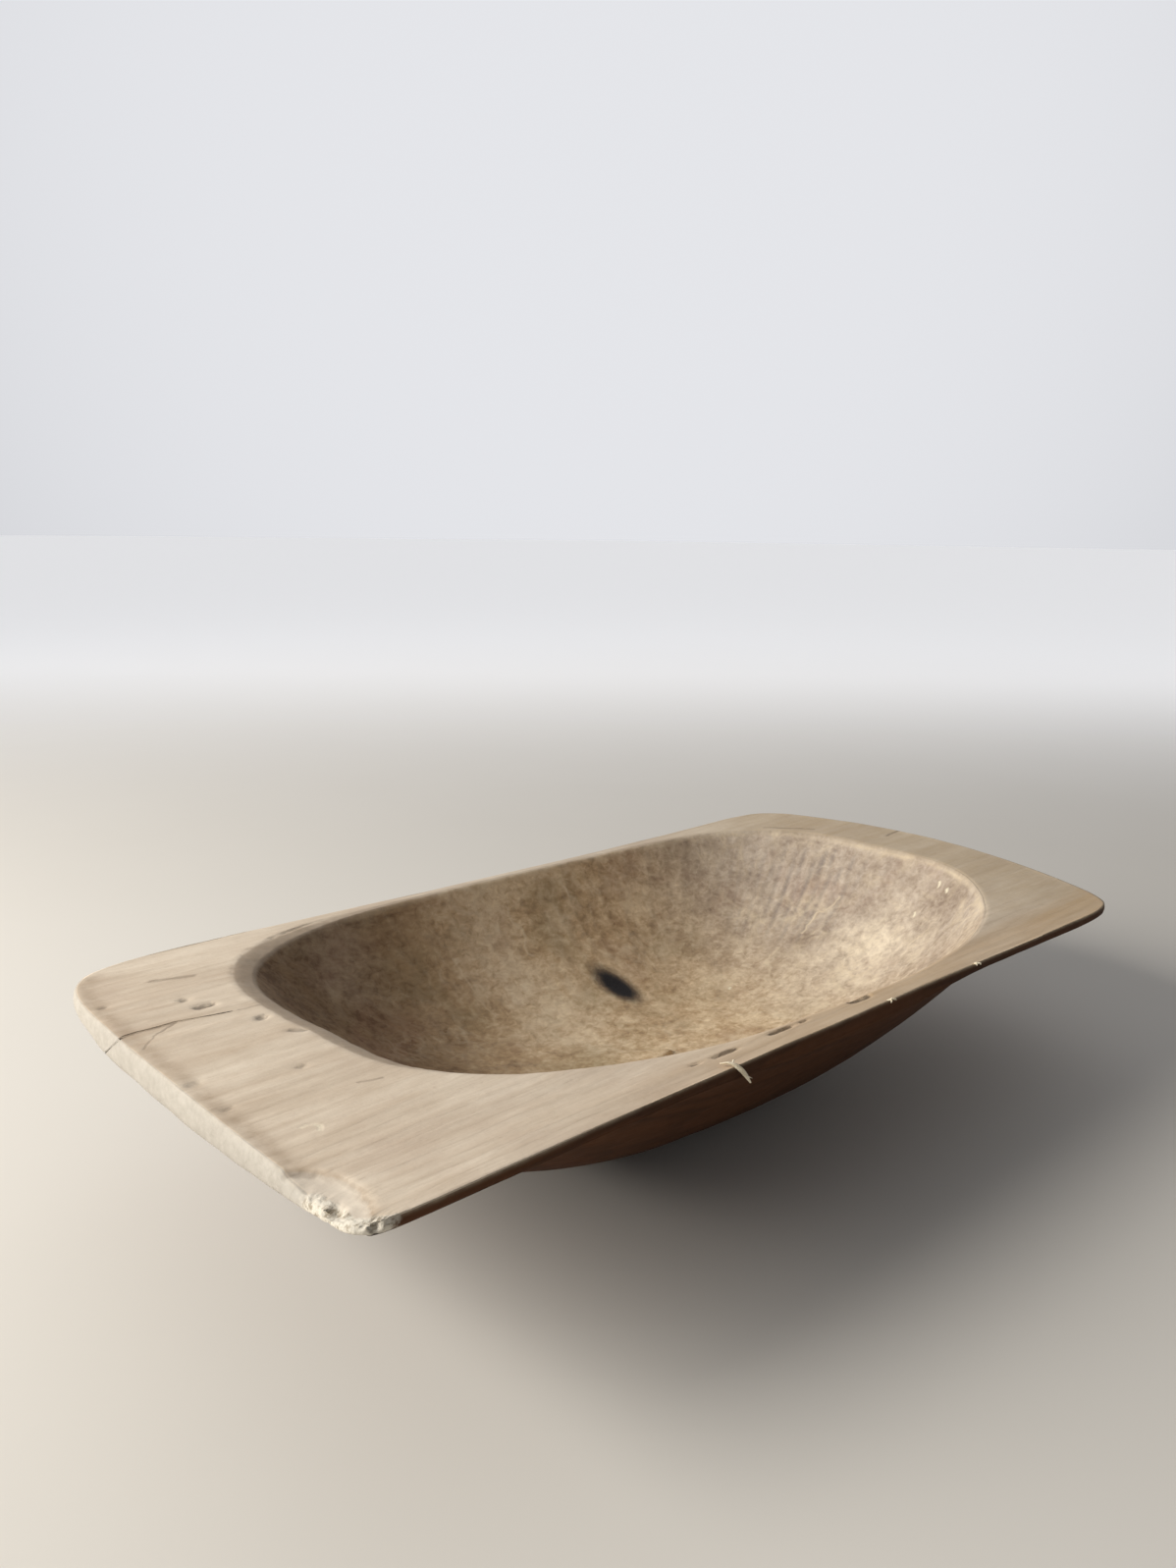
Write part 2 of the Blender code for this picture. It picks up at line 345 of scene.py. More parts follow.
# %% Rings of the underside, the edge and the rim
END_UPPER_ROUNDING = 0.0016  # how far the upper edge of an end face curls in
END_LOWER_ROUNDING = 0.0042
SIDE_ROUNDING = 0.0008
EDGE_WANDER = 0.00025
UNDER_RINGS = 22
EDGE_RINGS = 11
SHELF_RINGS = 38
LIP_RINGS = 7
HOLLOW_RINGS = 76


def plan_inwards(x, y):
    """Unit directions in plan, square to a closed outline and pointing into it."""
    along_x = np.roll(x, -1) - np.roll(x, 1)
    along_y = np.roll(y, -1) - np.roll(y, 1)
    size = np.hypot(along_x, along_y)
    return -along_y / size, along_x / size


edge_x, edge_y = outline(ANGLES)
inwards_x, inwards_y = plan_inwards(edge_x, edge_y)
wander = rough(np.stack([edge_x, edge_y, 0 * edge_x], axis=-1), 0.040, 51, 3)
edge_x = edge_x + EDGE_WANDER * (1 + wander) * inwards_x
edge_y = edge_y + EDGE_WANDER * (1 + wander) * inwards_y
end_way = soft_step(np.abs(inwards_x), 0.45, 0.8)
upper_rounding = SIDE_ROUNDING + (END_UPPER_ROUNDING - SIDE_ROUNDING) * end_way
lower_rounding = SIDE_ROUNDING + (END_LOWER_ROUNDING - SIDE_ROUNDING) * end_way
rim_x = edge_x + upper_rounding * inwards_x
rim_y = edge_y + upper_rounding * inwards_y
under_x = edge_x + lower_rounding * inwards_x
under_y = edge_y + lower_rounding * inwards_y


def under_rings():
    """From the foot to the outline: plain ovals about the keel that square up as they go out."""
    shares = np.linspace(FOOT_SHARE, 1, UNDER_RINGS)[:, None]
    across, up = squared_oval(ANGLES, KEEL_POWERS)
    oval_x = np.where(across < 0, KEEL_TO_SQUARE_END, KEEL_TO_ROUND_END) * across
    squared = soft_step(shares, 0.3, 1.0)
    x = KEEL_MIDDLE + shares * ((1 - squared) * oval_x + squared * (under_x - KEEL_MIDDLE))
    y = shares * ((1 - squared) * HALF_WIDTH * up + squared * under_y)
    height = underside(x, y)
    height[0] = 0
    return np.stack([x, y, height], axis=-1)


EDGE_TURN = np.sin(np.linspace(-1, 1, EDGE_RINGS + 2) * np.pi / 2)[1:-1, None]


def edge_rings():
    """Up the outer face: it bulges from the rounded lower edge to the rounded upper edge, as
    inset = rounding x |q|^3 with q from -1 to 1."""
    inset = np.where(EDGE_TURN > 0, upper_rounding, lower_rounding) * np.abs(EDGE_TURN) ** 3
    x = edge_x + inset * inwards_x
    y = edge_y + inset * inwards_y
    low = underside(under_x, under_y)
    height = low + (rim(x, y) - low) * (EDGE_TURN + 1) / 2
    return np.stack([x, y, height], axis=-1)


# %% [markdown]
# ## The lip of the hollow
#
# At the square end a worn bevel leads from the shelf into the hollow; along the sides there is
# only a soft edge. The bevel's width and drop vary with the direction.

# %% Rings of the rim, the lip and the hollow
BEVEL_WIDTH = 0.0115
BEVEL_DROP = 0.0035
SIDE_LIP_WIDTH = 0.0022
SIDE_LIP_DROP = 0.0007
KNOT_RING_SHARE = 0.52
MOUTH_WANDER = 0.0006
NEAR_RIM_EXTRA = 0.0054  # the near wall was left a little thicker at the top

bevel = soft_step(ANGLES, math.radians(112), math.radians(140)) * soft_step(
    ANGLES, math.radians(216), math.radians(186)
)
lip_width = SIDE_LIP_WIDTH + (BEVEL_WIDTH - SIDE_LIP_WIDTH) * bevel
lip_drop = SIDE_LIP_DROP + (BEVEL_DROP - SIDE_LIP_DROP) * bevel
hollow_x, hollow_y = hollow_edge(ANGLES)
hollow_in_x, hollow_in_y = plan_inwards(hollow_x, hollow_y)
mouth_wander = MOUTH_WANDER * rough(np.stack([hollow_x, hollow_y, 0 * hollow_x], axis=-1), 0.045, 52, 4)
near_side = soft_step(ANGLES, math.radians(206), math.radians(232)) * soft_step(
    ANGLES, math.radians(346), math.radians(318)
)
mouth_in = 0.4 * lip_width * bevel + mouth_wander + NEAR_RIM_EXTRA * near_side
mouth_x = hollow_x + mouth_in * hollow_in_x
mouth_y = hollow_y + mouth_in * hollow_in_y
lip_x = mouth_x - lip_width * hollow_in_x
lip_y = mouth_y - lip_width * hollow_in_y
SHELF_SHARES = np.linspace(0, 1, SHELF_RINGS)[:, None] ** 1.15


def shelf_rings():
    """Straight across the rim plane, from just inside the outer edge to the lip."""
    x = (1 - SHELF_SHARES) * rim_x + SHELF_SHARES * lip_x
    y = (1 - SHELF_SHARES) * rim_y + SHELF_SHARES * lip_y
    return np.stack([x, y, rim(x, y)], axis=-1)


def lip_rings():
    """Across the bevel: the drop grows as the 1.3rd power of the way to the mouth."""
    share = np.linspace(0, 1, LIP_RINGS + 1)[1:, None]
    x = (1 - share) * lip_x + share * mouth_x
    y = (1 - share) * lip_y + share * mouth_y
    return np.stack([x, y, rim(x, y) - lip_drop * share**1.3], axis=-1)


def hollow_shares():
    """Shares from mouth to middle, crowded at the steep wall and where the knot is."""
    share = np.linspace(1, 0, 4001)
    weight = 1 + 1.2 * bump(share, 1.0, 0.15) + 1.6 * bump(share, KNOT_RING_SHARE, 0.09)
    added = np.cumsum(weight)
    added = (added - added[0]) / (added[-1] - added[0])
    return np.interp(np.linspace(0, 1, HOLLOW_RINGS + 2)[1:-1], added, share)


HOLLOW_SHARES = hollow_shares()[:, None]


def hollow_rings():
    """Down into the hollow: depth x (1 - share^p), with p greater at the ends than at the sides."""
    x = HOLLOW_MIDDLE[0] + HOLLOW_SHARES * (mouth_x - HOLLOW_MIDDLE[0])
    y = HOLLOW_MIDDLE[1] + HOLLOW_SHARES * (mouth_y - HOLLOW_MIDDLE[1])
    power = SIDE_WALL_POWER + (END_WALL_POWER - SIDE_WALL_POWER) * np.cos(ANGLES) ** 2
    depth = lip_drop * HOLLOW_SHARES + (HOLLOW_DEPTH - lip_drop) * (1 - HOLLOW_SHARES**power)
    return np.stack([x, y, rim(x, y) - depth], axis=-1)


skin = np.concatenate([under_rings(), edge_rings(), shelf_rings(), lip_rings(), hollow_rings()])
EDGE_FROM = UNDER_RINGS
SHELF_FROM = EDGE_FROM + EDGE_RINGS
LIP_FROM = SHELF_FROM + SHELF_RINGS
HOLLOW_FROM = LIP_FROM + LIP_RINGS
RINGS = len(skin)
ring_number = np.arange(RINGS)[:, None] * np.ones((1, STATIONS))
past_edge = ring_number >= SHELF_FROM
print(RINGS, "rings,", 2 * RINGS * STATIONS, "triangles")

# %% Which part of the bowl each point belongs to
# Each is 0 to 1 and changes over a few rings, so that nothing jumps where two parts meet.


def between_rings(start, end, blend=2.5):
    """1 from ring start to ring end, with a smooth rise and fall centred on each."""
    rise = soft_step(ring_number, start - blend, start + blend)
    return rise * soft_step(ring_number, end + blend, end - blend)


below = between_rings(-9, EDGE_FROM, 2)
on_edge = between_rings(EDGE_FROM, SHELF_FROM, 2)
on_shelf = between_rings(SHELF_FROM + 1, LIP_FROM)
on_lip = between_rings(LIP_FROM, HOLLOW_FROM, 2)
in_hollow = between_rings(HOLLOW_FROM, RINGS + 9, 2)
edge_height = np.zeros((RINGS, 1))
edge_height[EDGE_FROM:SHELF_FROM] = (EDGE_TURN + 1) / 2
edge_height[SHELF_FROM:] = 1
faces_end = end_way * np.ones((RINGS, 1))
at_square_end = faces_end * (edge_x < 0)
shelf_share = np.zeros((RINGS, 1))
shelf_share[SHELF_FROM:LIP_FROM] = SHELF_SHARES
shelf_share[LIP_FROM:] = 1
from_edge = shelf_share * np.hypot(lip_x - rim_x, lip_y - rim_y)
hollow_share = np.ones((RINGS, 1))
hollow_share[HOLLOW_FROM:] = HOLLOW_SHARES

# %% [markdown]
# ## The split in the square end
#
# Drying pulled the end of the log apart along the grain. The split is open at the end face, leans
# as it goes down, bows a little on the shelf, and closes before the lip. The stations near it are
# pushed sideways so that one of them runs exactly along it; the ones beside it stay up as its
# edges, and it sinks.

# %% Bend the stations on to the split and open it
SPLIT_X = np.array((-0.310, -0.306, -0.299, -0.289, -0.280, -0.271, -0.262, -0.252, -0.243))
SPLIT_Y = np.array((0.0520, 0.0555, 0.0562, 0.0556, 0.0560, 0.0542, 0.0522, 0.0505, 0.0490))
SPLIT_FOOT_Y = 0.0760  # where it comes out at the lower edge of the end face
SPLIT_SWAY = 0.030  # how far off the stations still bend with it
SPLIT_DEEP = 0.0048
SPLIT_WIDEST = 0.00055
SPLIT_OPEN_AT = -0.309
SPLIT_CLOSED_AT = -0.249
SPLIT_PINCH = 0.0012  # how far off the stations are drawn in where it narrows
SQUARE_END_SIDE = -0.2  # x below which a point belongs to the square end

middle_station = int(np.argmin(np.abs(ANGLES - SPLIT_ANGLE)))
off_split = skin[..., 1] - skin[:, middle_station, None, 1]
line_x = skin[:, middle_station, 0]
line_y = np.interp(line_x, SPLIT_X, SPLIT_Y)
down_face = np.clip(1 - edge_height[:, 0], 0, 1)
line_y = line_y + (SPLIT_FOOT_Y - SPLIT_Y[0]) * down_face
bend = (line_y - skin[:, middle_station, 1]) * between_rings(EDGE_FROM - 4, LIP_FROM - 3, 3)[:, 0]
open_share = soft_step(line_x, SPLIT_CLOSED_AT, SPLIT_OPEN_AT) ** 0.7
open_share = open_share * between_rings(EDGE_FROM - 1, LIP_FROM, 2)[:, 0]
narrowing = 0.45 + 0.55 * open_share
beside = np.exp(-((off_split / SPLIT_SWAY) ** 2)) * (skin[..., 0] < 0)
at_split_end = skin[..., 0] < SQUARE_END_SIDE
near_split = np.exp(-((off_split / SPLIT_PINCH) ** 2)) * at_split_end
pinch = (narrowing - 1)[:, None] * off_split * near_split
in_split = (1 - soft_step(np.abs(off_split), 0.45 * SPLIT_WIDEST, SPLIT_WIDEST)) * at_split_end
skin[..., 1] += bend[:, None] * beside + pinch
split_drop = SPLIT_DEEP * open_share[:, None] * in_split
inwards_share = np.where(ring_number < SHELF_FROM, 1, 1 - soft_step(from_edge, 0, 0.014))
skin[..., 0] += split_drop * inwards_share * inwards_x
skin[..., 1] += split_drop * inwards_share * inwards_y
skin[..., 2] -= split_drop * (edge_height - 0.35 * below)
print("split open for", round(float(np.ptp(line_x[open_share > 0.02]) / MM)), "mm along the shelf")

# %% [markdown]
# ## Pits, the cut corner and the frayed lip
#
# The shelf has a few small dents and dark pits where softer grain has fallen out. One corner has
# been pared to a low sloping facet, and its outer edge has crumbled. The top of the near wall has
# five thin nicks, and the far part of the lip is torn along the grain.

# %% Dents, facet, nicks
# Each dent: where it starts, where it ends, its half width, its depth, all in metres. The last
# five are the nicks.
DENTS = (
    ((-0.2665, 0.0785), (-0.2645, 0.0788), 0.0022, 0.0010),
    ((-0.2640, 0.0655), (-0.2570, 0.0660), 0.0021, 0.0014),
    ((-0.3005, 0.0935), (-0.2990, 0.0940), 0.0022, 0.0005),
    ((-0.2465, 0.0345), (-0.2450, 0.0350), 0.0024, 0.0012),
    ((-0.2425, 0.0115), (-0.2385, 0.0085), 0.0022, 0.0009),
    ((-0.2590, -0.0262), (-0.2565, -0.0252), 0.0019, 0.0006),
    ((-0.3015, -0.0410), (-0.3000, -0.0405), 0.0022, 0.0005),
    ((-0.3020, -0.0110), (-0.3000, -0.0105), 0.0026, 0.0005),
    ((-0.0100, -0.1420), (0.0030, -0.1428), 0.0021, 0.0020),
    ((-0.0740, -0.1418), (-0.0590, -0.1420), 0.0011, 0.0012),
    ((-0.1140, -0.1410), (-0.0990, -0.1416), 0.0010, 0.0012),
    ((-0.0520, -0.1422), (-0.0480, -0.1422), 0.0009, 0.0009),
    ((-0.1280, -0.1404), (-0.1240, -0.1406), 0.0009, 0.0009),
)
FACET_MIDDLE = (-0.310, -0.127)
FACET_HALF = (0.0178, 0.0290)
FACET_STEP = 0.0015
FACET_FALL = 0.0022
CRUMBLE = 0.0032
TORN_DEEP = 0.0008


def off_line(x, y, start, end):
    """Distance in plan from a straight line between two points."""
    along_x, along_y = end[0] - start[0], end[1] - start[1]
    way = ((x - start[0]) * along_x + (y - start[1]) * along_y) / (along_x**2 + along_y**2)
    way = np.clip(way, 0, 1)
    return np.hypot(x - start[0] - way * along_x, y - start[1] - way * along_y)


X, Y = skin[..., 0].copy(), skin[..., 1].copy()
drop = np.zeros((RINGS, STATIONS))
for start, end, half_width, deep in DENTS:
    drop += deep * np.exp(-((off_line(X, Y, start, end) / half_width) ** 2)) * past_edge
into_facet = 1 - np.hypot((X - FACET_MIDDLE[0]) / FACET_HALF[0], (Y - FACET_MIDDLE[1]) / FACET_HALF[1])
facet = soft_step(into_facet, 0, 0.14)
drop += (FACET_STEP * facet + FACET_FALL * np.clip(into_facet, 0, 1)) * edge_height
skin[..., 2] -= drop

corner_way = soft_step(Y, -0.104, -0.128) * soft_step(X, -0.285, -0.300)
crumbs = rough(skin, 0.0060, 61, 3)
crumbled = corner_way * np.clip(on_edge + soft_step(from_edge, 0.007, 0.002) * (edge_height > 0.99), 0, 1)
bites = np.clip(crumbs - 0.05, 0, 1) * crumbled * CRUMBLE
skin[..., 0] += bites * inwards_x
skin[..., 1] += bites * inwards_y
skin[..., 2] -= bites * edge_height * 0.8

torn_way = soft_step(ANGLES, math.radians(118), math.radians(128)) * soft_step(
    ANGLES, math.radians(160), math.radians(148)
)
torn = torn_way * between_rings(LIP_FROM - 1, LIP_FROM + 0.4, 0.9) * soft_step(
    rough(skin, 0.011, 62, 3), -0.35, 0.35
)
skin[..., 2] -= torn * TORN_DEEP
print("deepest dent", round(float(drop.max() / MM), 2), "mm")

# %% [markdown]
# ## Tool marks
#
# The hollow was hewn with an adze and scraped. Each stroke leaves a shallow scoop, and where two
# scoops meet there is a low ridge, which handling has worn pale. Down the walls the strokes run
# with the slope; on the floor they run along the grain. The scoops are cells: a jittered grid of
# centres, and a depth that grows with the square of the distance to the nearest centre.

# %% Scoops
SCOOP_CELLS = 64  # jittered centres along each side of the grid, which then repeats
SCOOP_BLEND = 0.35
SCOOP_MEAN = 0.35


def scoops(across, along, seed):
    """Squared distances to the two nearest of a grid of jittered centres, one in each unit cell."""
    cell_a = np.floor(across)
    cell_b = np.floor(along)
    jitter = np.random.default_rng(seed).uniform(0.15, 0.85, (2, SCOOP_CELLS, SCOOP_CELLS))
    nearest = np.full(np.shape(across), 9.0)
    second = nearest.copy()
    for i in (-1, 0, 1):
        for j in (-1, 0, 1):
            row = (cell_a + i).astype(int) % SCOOP_CELLS
            column = (cell_b + j).astype(int) % SCOOP_CELLS
            away_a = cell_a + i + jitter[0][row, column] - across
            away_b = cell_b + j + jitter[1][row, column] - along
            away = away_a**2 + away_b**2
            second = np.minimum(second, np.maximum(nearest, away))
            nearest = np.minimum(nearest, away)
    return nearest, second


def soft_scoop(nearest, second):
    """The depth of a scoop, rounded over where two are nearly as close: with h the blend and
    g = 1 - (second - nearest) / h, it is nearest - h g^2 / 4."""
    gap = np.clip(1 - (second - nearest) / SCOOP_BLEND, 0, 1)
    return nearest - SCOOP_BLEND * gap**2 / 4


STROKE_WIDTH = 0.017
STROKE_LENGTH = 0.050
FLOOR_STROKE_WIDTH = 0.024
FLOOR_STROKE_LENGTH = 0.055
FLUTE_WIDTH = 0.0085
FLUTE_DEEP = 0.0010
FLUTE_SWAY = 0.0028
RIDGE_REACH = 0.10  # of the squared distance between the two nearest centres

steps_round = np.hypot(np.diff(hollow_x, append=hollow_x[0]), np.diff(hollow_y, append=hollow_y[0]))
rim_length = float(steps_round.sum())
round_the_rim = np.cumsum(steps_round) - steps_round[0]
stroke_columns = round(rim_length / STROKE_WIDTH)
around = round_the_rim[None, :] / rim_length * SCOOP_CELLS
from_middle = hollow_share * np.hypot(mouth_x - HOLLOW_MIDDLE[0], mouth_y - HOLLOW_MIDDLE[1])
sway = rough(skin, 0.05, 11, 2)
wall_near, wall_next = scoops(
    around * stroke_columns / SCOOP_CELLS + 0.4 * sway, from_middle / STROKE_LENGTH, 21
)
floor_near, floor_next = scoops(
    X / FLOOR_STROKE_LENGTH + 0.2 * sway, Y / FLOOR_STROKE_WIDTH + 0.4 * sway, 22
)
on_wall = soft_step(hollow_share, 0.45, 0.75)
seam_fade = soft_step(np.abs((ANGLES + np.pi) % (2 * np.pi) - np.pi), 0.0, 0.10)
mouth_fade = soft_step(hollow_share, 0.995, 0.95)
middle_fade = soft_step(hollow_share, 0.02, 0.16)
wall_scoop = (soft_scoop(wall_near, wall_next) - SCOOP_MEAN) * seam_fade * mouth_fade
floor_scoop = soft_scoop(floor_near, floor_next) - SCOOP_MEAN
tool_marks = (on_wall * wall_scoop + (1 - on_wall) * floor_scoop * 0.55) * middle_fade
ridge = on_wall * np.exp(-(wall_next - wall_near) / RIDGE_REACH) * seam_fade
ridge = ridge + (1 - on_wall) * np.exp(-(floor_next - floor_near) / RIDGE_REACH) * middle_fade
flute_place = bump(ANGLES, math.radians(24), math.radians(15)) * soft_step(hollow_share, 0.62, 0.78)
flute_place = flute_place * mouth_fade
flutes = np.abs(np.sin(np.pi * (round_the_rim[None, :] + FLUTE_SWAY * sway) / FLUTE_WIDTH)) - 0.6
print(stroke_columns, "strokes round the wall")

# %% [markdown]
# ## The knot's place, and the raised crest at the bowed end
#
# The dead knot has shrunk back, so the hollow dips round it. At the bowed end the edge between
# hollow and shelf stands up a little as a crest, painted pale: partly wear, partly a painted highlight.

# %% Knot dish, crest and all relief
KNOT_PLACE = (0.0362, 0.0772)
KNOT_HALF = (0.0168, 0.0102)
KNOT_TURN = math.radians(-63.5)
KNOT_DISH = 0.0011
KNOT_FADE = (0.50, 1.50)  # the stain spreads into the wood round it


def knot_radius(x, y):
    """1 on the knot's edge: the length of the offset, turned to the knot and divided by its half
    sizes."""
    off_x, off_y = x - KNOT_PLACE[0], y - KNOT_PLACE[1]
    along = off_x * math.cos(KNOT_TURN) + off_y * math.sin(KNOT_TURN)
    across = off_y * math.cos(KNOT_TURN) - off_x * math.sin(KNOT_TURN)
    return np.hypot(along / KNOT_HALF[0], across / KNOT_HALF[1])


def outward_normals(grid):
    """Cross product of the directions along and across the rings, made unit length."""
    across = np.roll(grid, -1, axis=1) - np.roll(grid, 1, axis=1)
    along = np.gradient(grid, axis=0)
    normal = np.cross(across, along)
    return normal / np.maximum(np.linalg.norm(normal, axis=-1, keepdims=True), 1e-12)


by_knot = np.exp(-((knot_radius(X, Y) / 1.5) ** 4)) * in_hollow
round_angle = (ANGLES + np.pi) % (2 * np.pi) - np.pi
crest_way = soft_step(round_angle, math.radians(-58), math.radians(-40)) * soft_step(
    round_angle, math.radians(26), math.radians(12)
)
crest = crest_way * np.exp(-(((ring_number - HOLLOW_FROM + 1.5) / 1.5) ** 2))

still = 1 - np.clip(in_split * (open_share[:, None] > 0.02), 0, 1)
relief = in_hollow * (tool_marks * 0.95 + flute_place * flutes * FLUTE_DEEP / MM)
relief += in_hollow * rough(skin, 0.030, 31, 3) * 0.30 * soft_step(hollow_share, 0.0, 0.15)
grain_lines = rough(skin, (0.090, 0.0065, 0.0065), 41, 3)
top = np.clip(on_shelf + on_lip, 0, 1)
relief += top * (rough(skin, (0.075, 0.035, 0.035), 42, 2) * 0.42 + grain_lines * 0.20 - 0.35)
relief += below * rough(skin, (0.07, 0.032, 0.032), 43, 3) * 0.6 * soft_step(skin[..., 2], 0.0005, 0.02)
relief += on_edge * (rough(skin, (0.02, 0.018, 0.02), 44, 3) * 0.30 - 0.34)
relief = relief * (1 - by_knot) * still + crest * 0.35
relief[0] = 0
normals = outward_normals(skin)
skin = skin + normals * (relief * MM)[..., None]
skin[..., 2] -= KNOT_DISH * np.exp(-(knot_radius(X, Y) ** 2) / 1.4) * in_hollow
print("relief", round(float(relief.min()), 2), "to", round(float(relief.max()), 2), "mm")

# %% Close the skin and put it into a mesh


def closed_mesh(name, grids):
    """For each grid: quads between neighbouring rings, wrapped round the stations, and a fan at
    each pole. Several grids make one mesh of several closed skins."""
    points, corners, counts, used = [], [], [], 0
    for grid in grids:
        rings, stations = grid.shape[:2]
        first = used + np.arange(rings - 1)[:, None] * stations
        here = np.arange(stations)[None, :]
        after = (here + 1) % stations
        quads = np.stack(
            [first + here, first + after, first + stations + after, first + stations + here], axis=-1
        )
        low_pole = used + rings * stations
        last = used + (rings - 1) * stations
        low = np.stack([np.full(stations, low_pole), used + after[0], used + here[0]], axis=-1)
        high = np.stack([np.full(stations, low_pole + 1), last + here[0], last + after[0]], axis=-1)
        points += [grid.reshape(-1, 3), grid[0].mean(axis=0)[None], grid[-1].mean(axis=0)[None]]
        corners += [quads.ravel(), low.ravel(), high.ravel()]
        counts += [np.full(quads.size // 4, 4), np.full(2 * stations, 3)]
        used += rings * stations + 2
    counts = np.concatenate(counts)
    corners = np.concatenate(corners)
    mesh = bpy.data.meshes.new(name)
    mesh.vertices.add(used)
    mesh.vertices.foreach_set("co", np.concatenate(points).astype(np.float32).ravel())
    mesh.loops.add(len(corners))
    mesh.loops.foreach_set("vertex_index", corners.astype(np.int32))
    mesh.polygons.add(len(counts))
    starts = np.concatenate([[0], np.cumsum(counts)[:-1]])
    mesh.polygons.foreach_set("loop_start", starts.astype(np.int32))
    mesh.update(calc_edges=True)
    mesh.validate()
    mesh.shade_smooth()
    return mesh


def note(mesh, name, values):
    """Keeps one number for each point of a one-grid mesh, for its finish to read."""
    everywhere = np.concatenate([values.ravel(), [values[0].mean(), values[-1].mean()]])
    mesh.attributes.new(name, "FLOAT", "POINT").data.foreach_set("value", everywhere.astype(np.float32))


def add_piece(name, mesh, finish):
    piece = bpy.data.objects.new(name, mesh)
    mesh.materials.append(finish)
    bpy.context.scene.collection.objects.link(piece)
    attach(piece, "root")
    triangles = sum(len(face.vertices) - 2 for face in mesh.polygons)
    print(name, triangles, "triangles")
    return piece


bowl_mesh = closed_mesh("carved_bowl", [skin])

# %% [markdown]
# ## What the finish needs to know
#
# A finish reads place alone, and it can't tell the lip from the shelf by that. So each point keeps a
# few numbers from 0 to 1: whether it lies in the hollow, on the lip or an end face, on an arris that
# hands have worn, in the split, and so on.

# %% Numbers kept on the bowl's points
end_spread = soft_step(from_edge, 0.0012, 0.0002) * past_edge
end_band = at_square_end * np.clip(on_edge + end_spread, 0, 1)
inner_shade = at_square_end * bump(from_edge, 0.0055, 0.0045) * past_edge
steps_over = np.linalg.norm(np.diff(skin, axis=0, prepend=skin[:1]), axis=-1)
over_edge = np.cumsum(steps_over, axis=0)
from_rim = over_edge - over_edge[SHELF_FROM]
from_mouth = over_edge - over_edge[HOLLOW_FROM]
rim_arris = bump(from_rim, -0.0002, 0.0010)
mouth_arris = 0.8 * bump(from_mouth, -0.0004, 0.0011) * (1 - bevel) * (1 - crest_way)
arris = (rim_arris + mouth_arris) * (1 - 0.75 * at_square_end)
note(bowl_mesh, "hollow", np.clip(in_hollow + 0.45 * on_lip, 0, 1))
note(bowl_mesh, "lip", on_lip * bevel * (1 - in_hollow))
note(bowl_mesh, "end_face", end_band)
note(bowl_mesh, "inner_shade", inner_shade)
# flute: 1 in the flute grooves, which the finish greys partly as painted shade
note(bowl_mesh, "flute", flute_place * np.clip(0.15 - flutes, 0, 1) * 1.6)
# under: the underside and the near side face, which the finish darkens with painted shade
side_face = on_edge * (1 - faces_end) * soft_step(edge_height, 0.995, 0.90)
note(bowl_mesh, "under", np.clip(below + side_face, 0, 1))
# the arrises, pale partly from wear and partly as a painted highlight
note(bowl_mesh, "worn_and_highlight", np.clip(arris * (1 - 0.6 * below), 0, 1))
note(bowl_mesh, "ridge", ridge * in_hollow)
note(bowl_mesh, "crest", crest_way * bump(from_mouth, -0.0008, 0.0013))
note(bowl_mesh, "split", np.clip(in_split * soft_step(open_share, 0.01, 0.10)[:, None], 0, 1))
note(bowl_mesh, "torn", torn)
note(bowl_mesh, "chip", crumbled)
note(bowl_mesh, "facet", facet * edge_height)

# %% [markdown]
# ## A small language for finishes
#
# A finish is worked out from where a point lies on the piece. A Signal is one number, colour or
# place on its way between nodes, and arithmetic on Signals adds the Math nodes, so that a formula
# in the script looks like the formula it is.

# %% Signals and finishes


class Signal:
    """One output of a node, with arithmetic that adds Math nodes."""

    def __init__(self, finish, socket):
        self.finish = finish
        self.socket = socket

    def math(self, operation, *others):
        return self.finish.math(operation, self, *others)

    def __add__(self, other):
        return self.math("ADD", other)

    def __sub__(self, other):
        return self.math("SUBTRACT", other)

    def __rsub__(self, other):
        return self.finish.math("SUBTRACT", other, self)

    def __mul__(self, other):
        return self.math("MULTIPLY", other)

    def __truediv__(self, other):
        return self.math("DIVIDE", other)

    def __pow__(self, other):
        return self.math("POWER", other)

    __radd__ = __add__
    __rmul__ = __mul__

    def held(self):
        """Kept between 0 and 1."""
        return self.math("MINIMUM", 1.0).math("MAXIMUM", 0.0)

    def rise(self, low, high):
        """0 at low and 1 at high, smooth between."""
        settings = {"interpolation_type": "SMOOTHSTEP"}
        inputs = {"Value": self, "From Min": low, "From Max": high}
        return self.finish.node("ShaderNodeMapRange", settings, inputs)


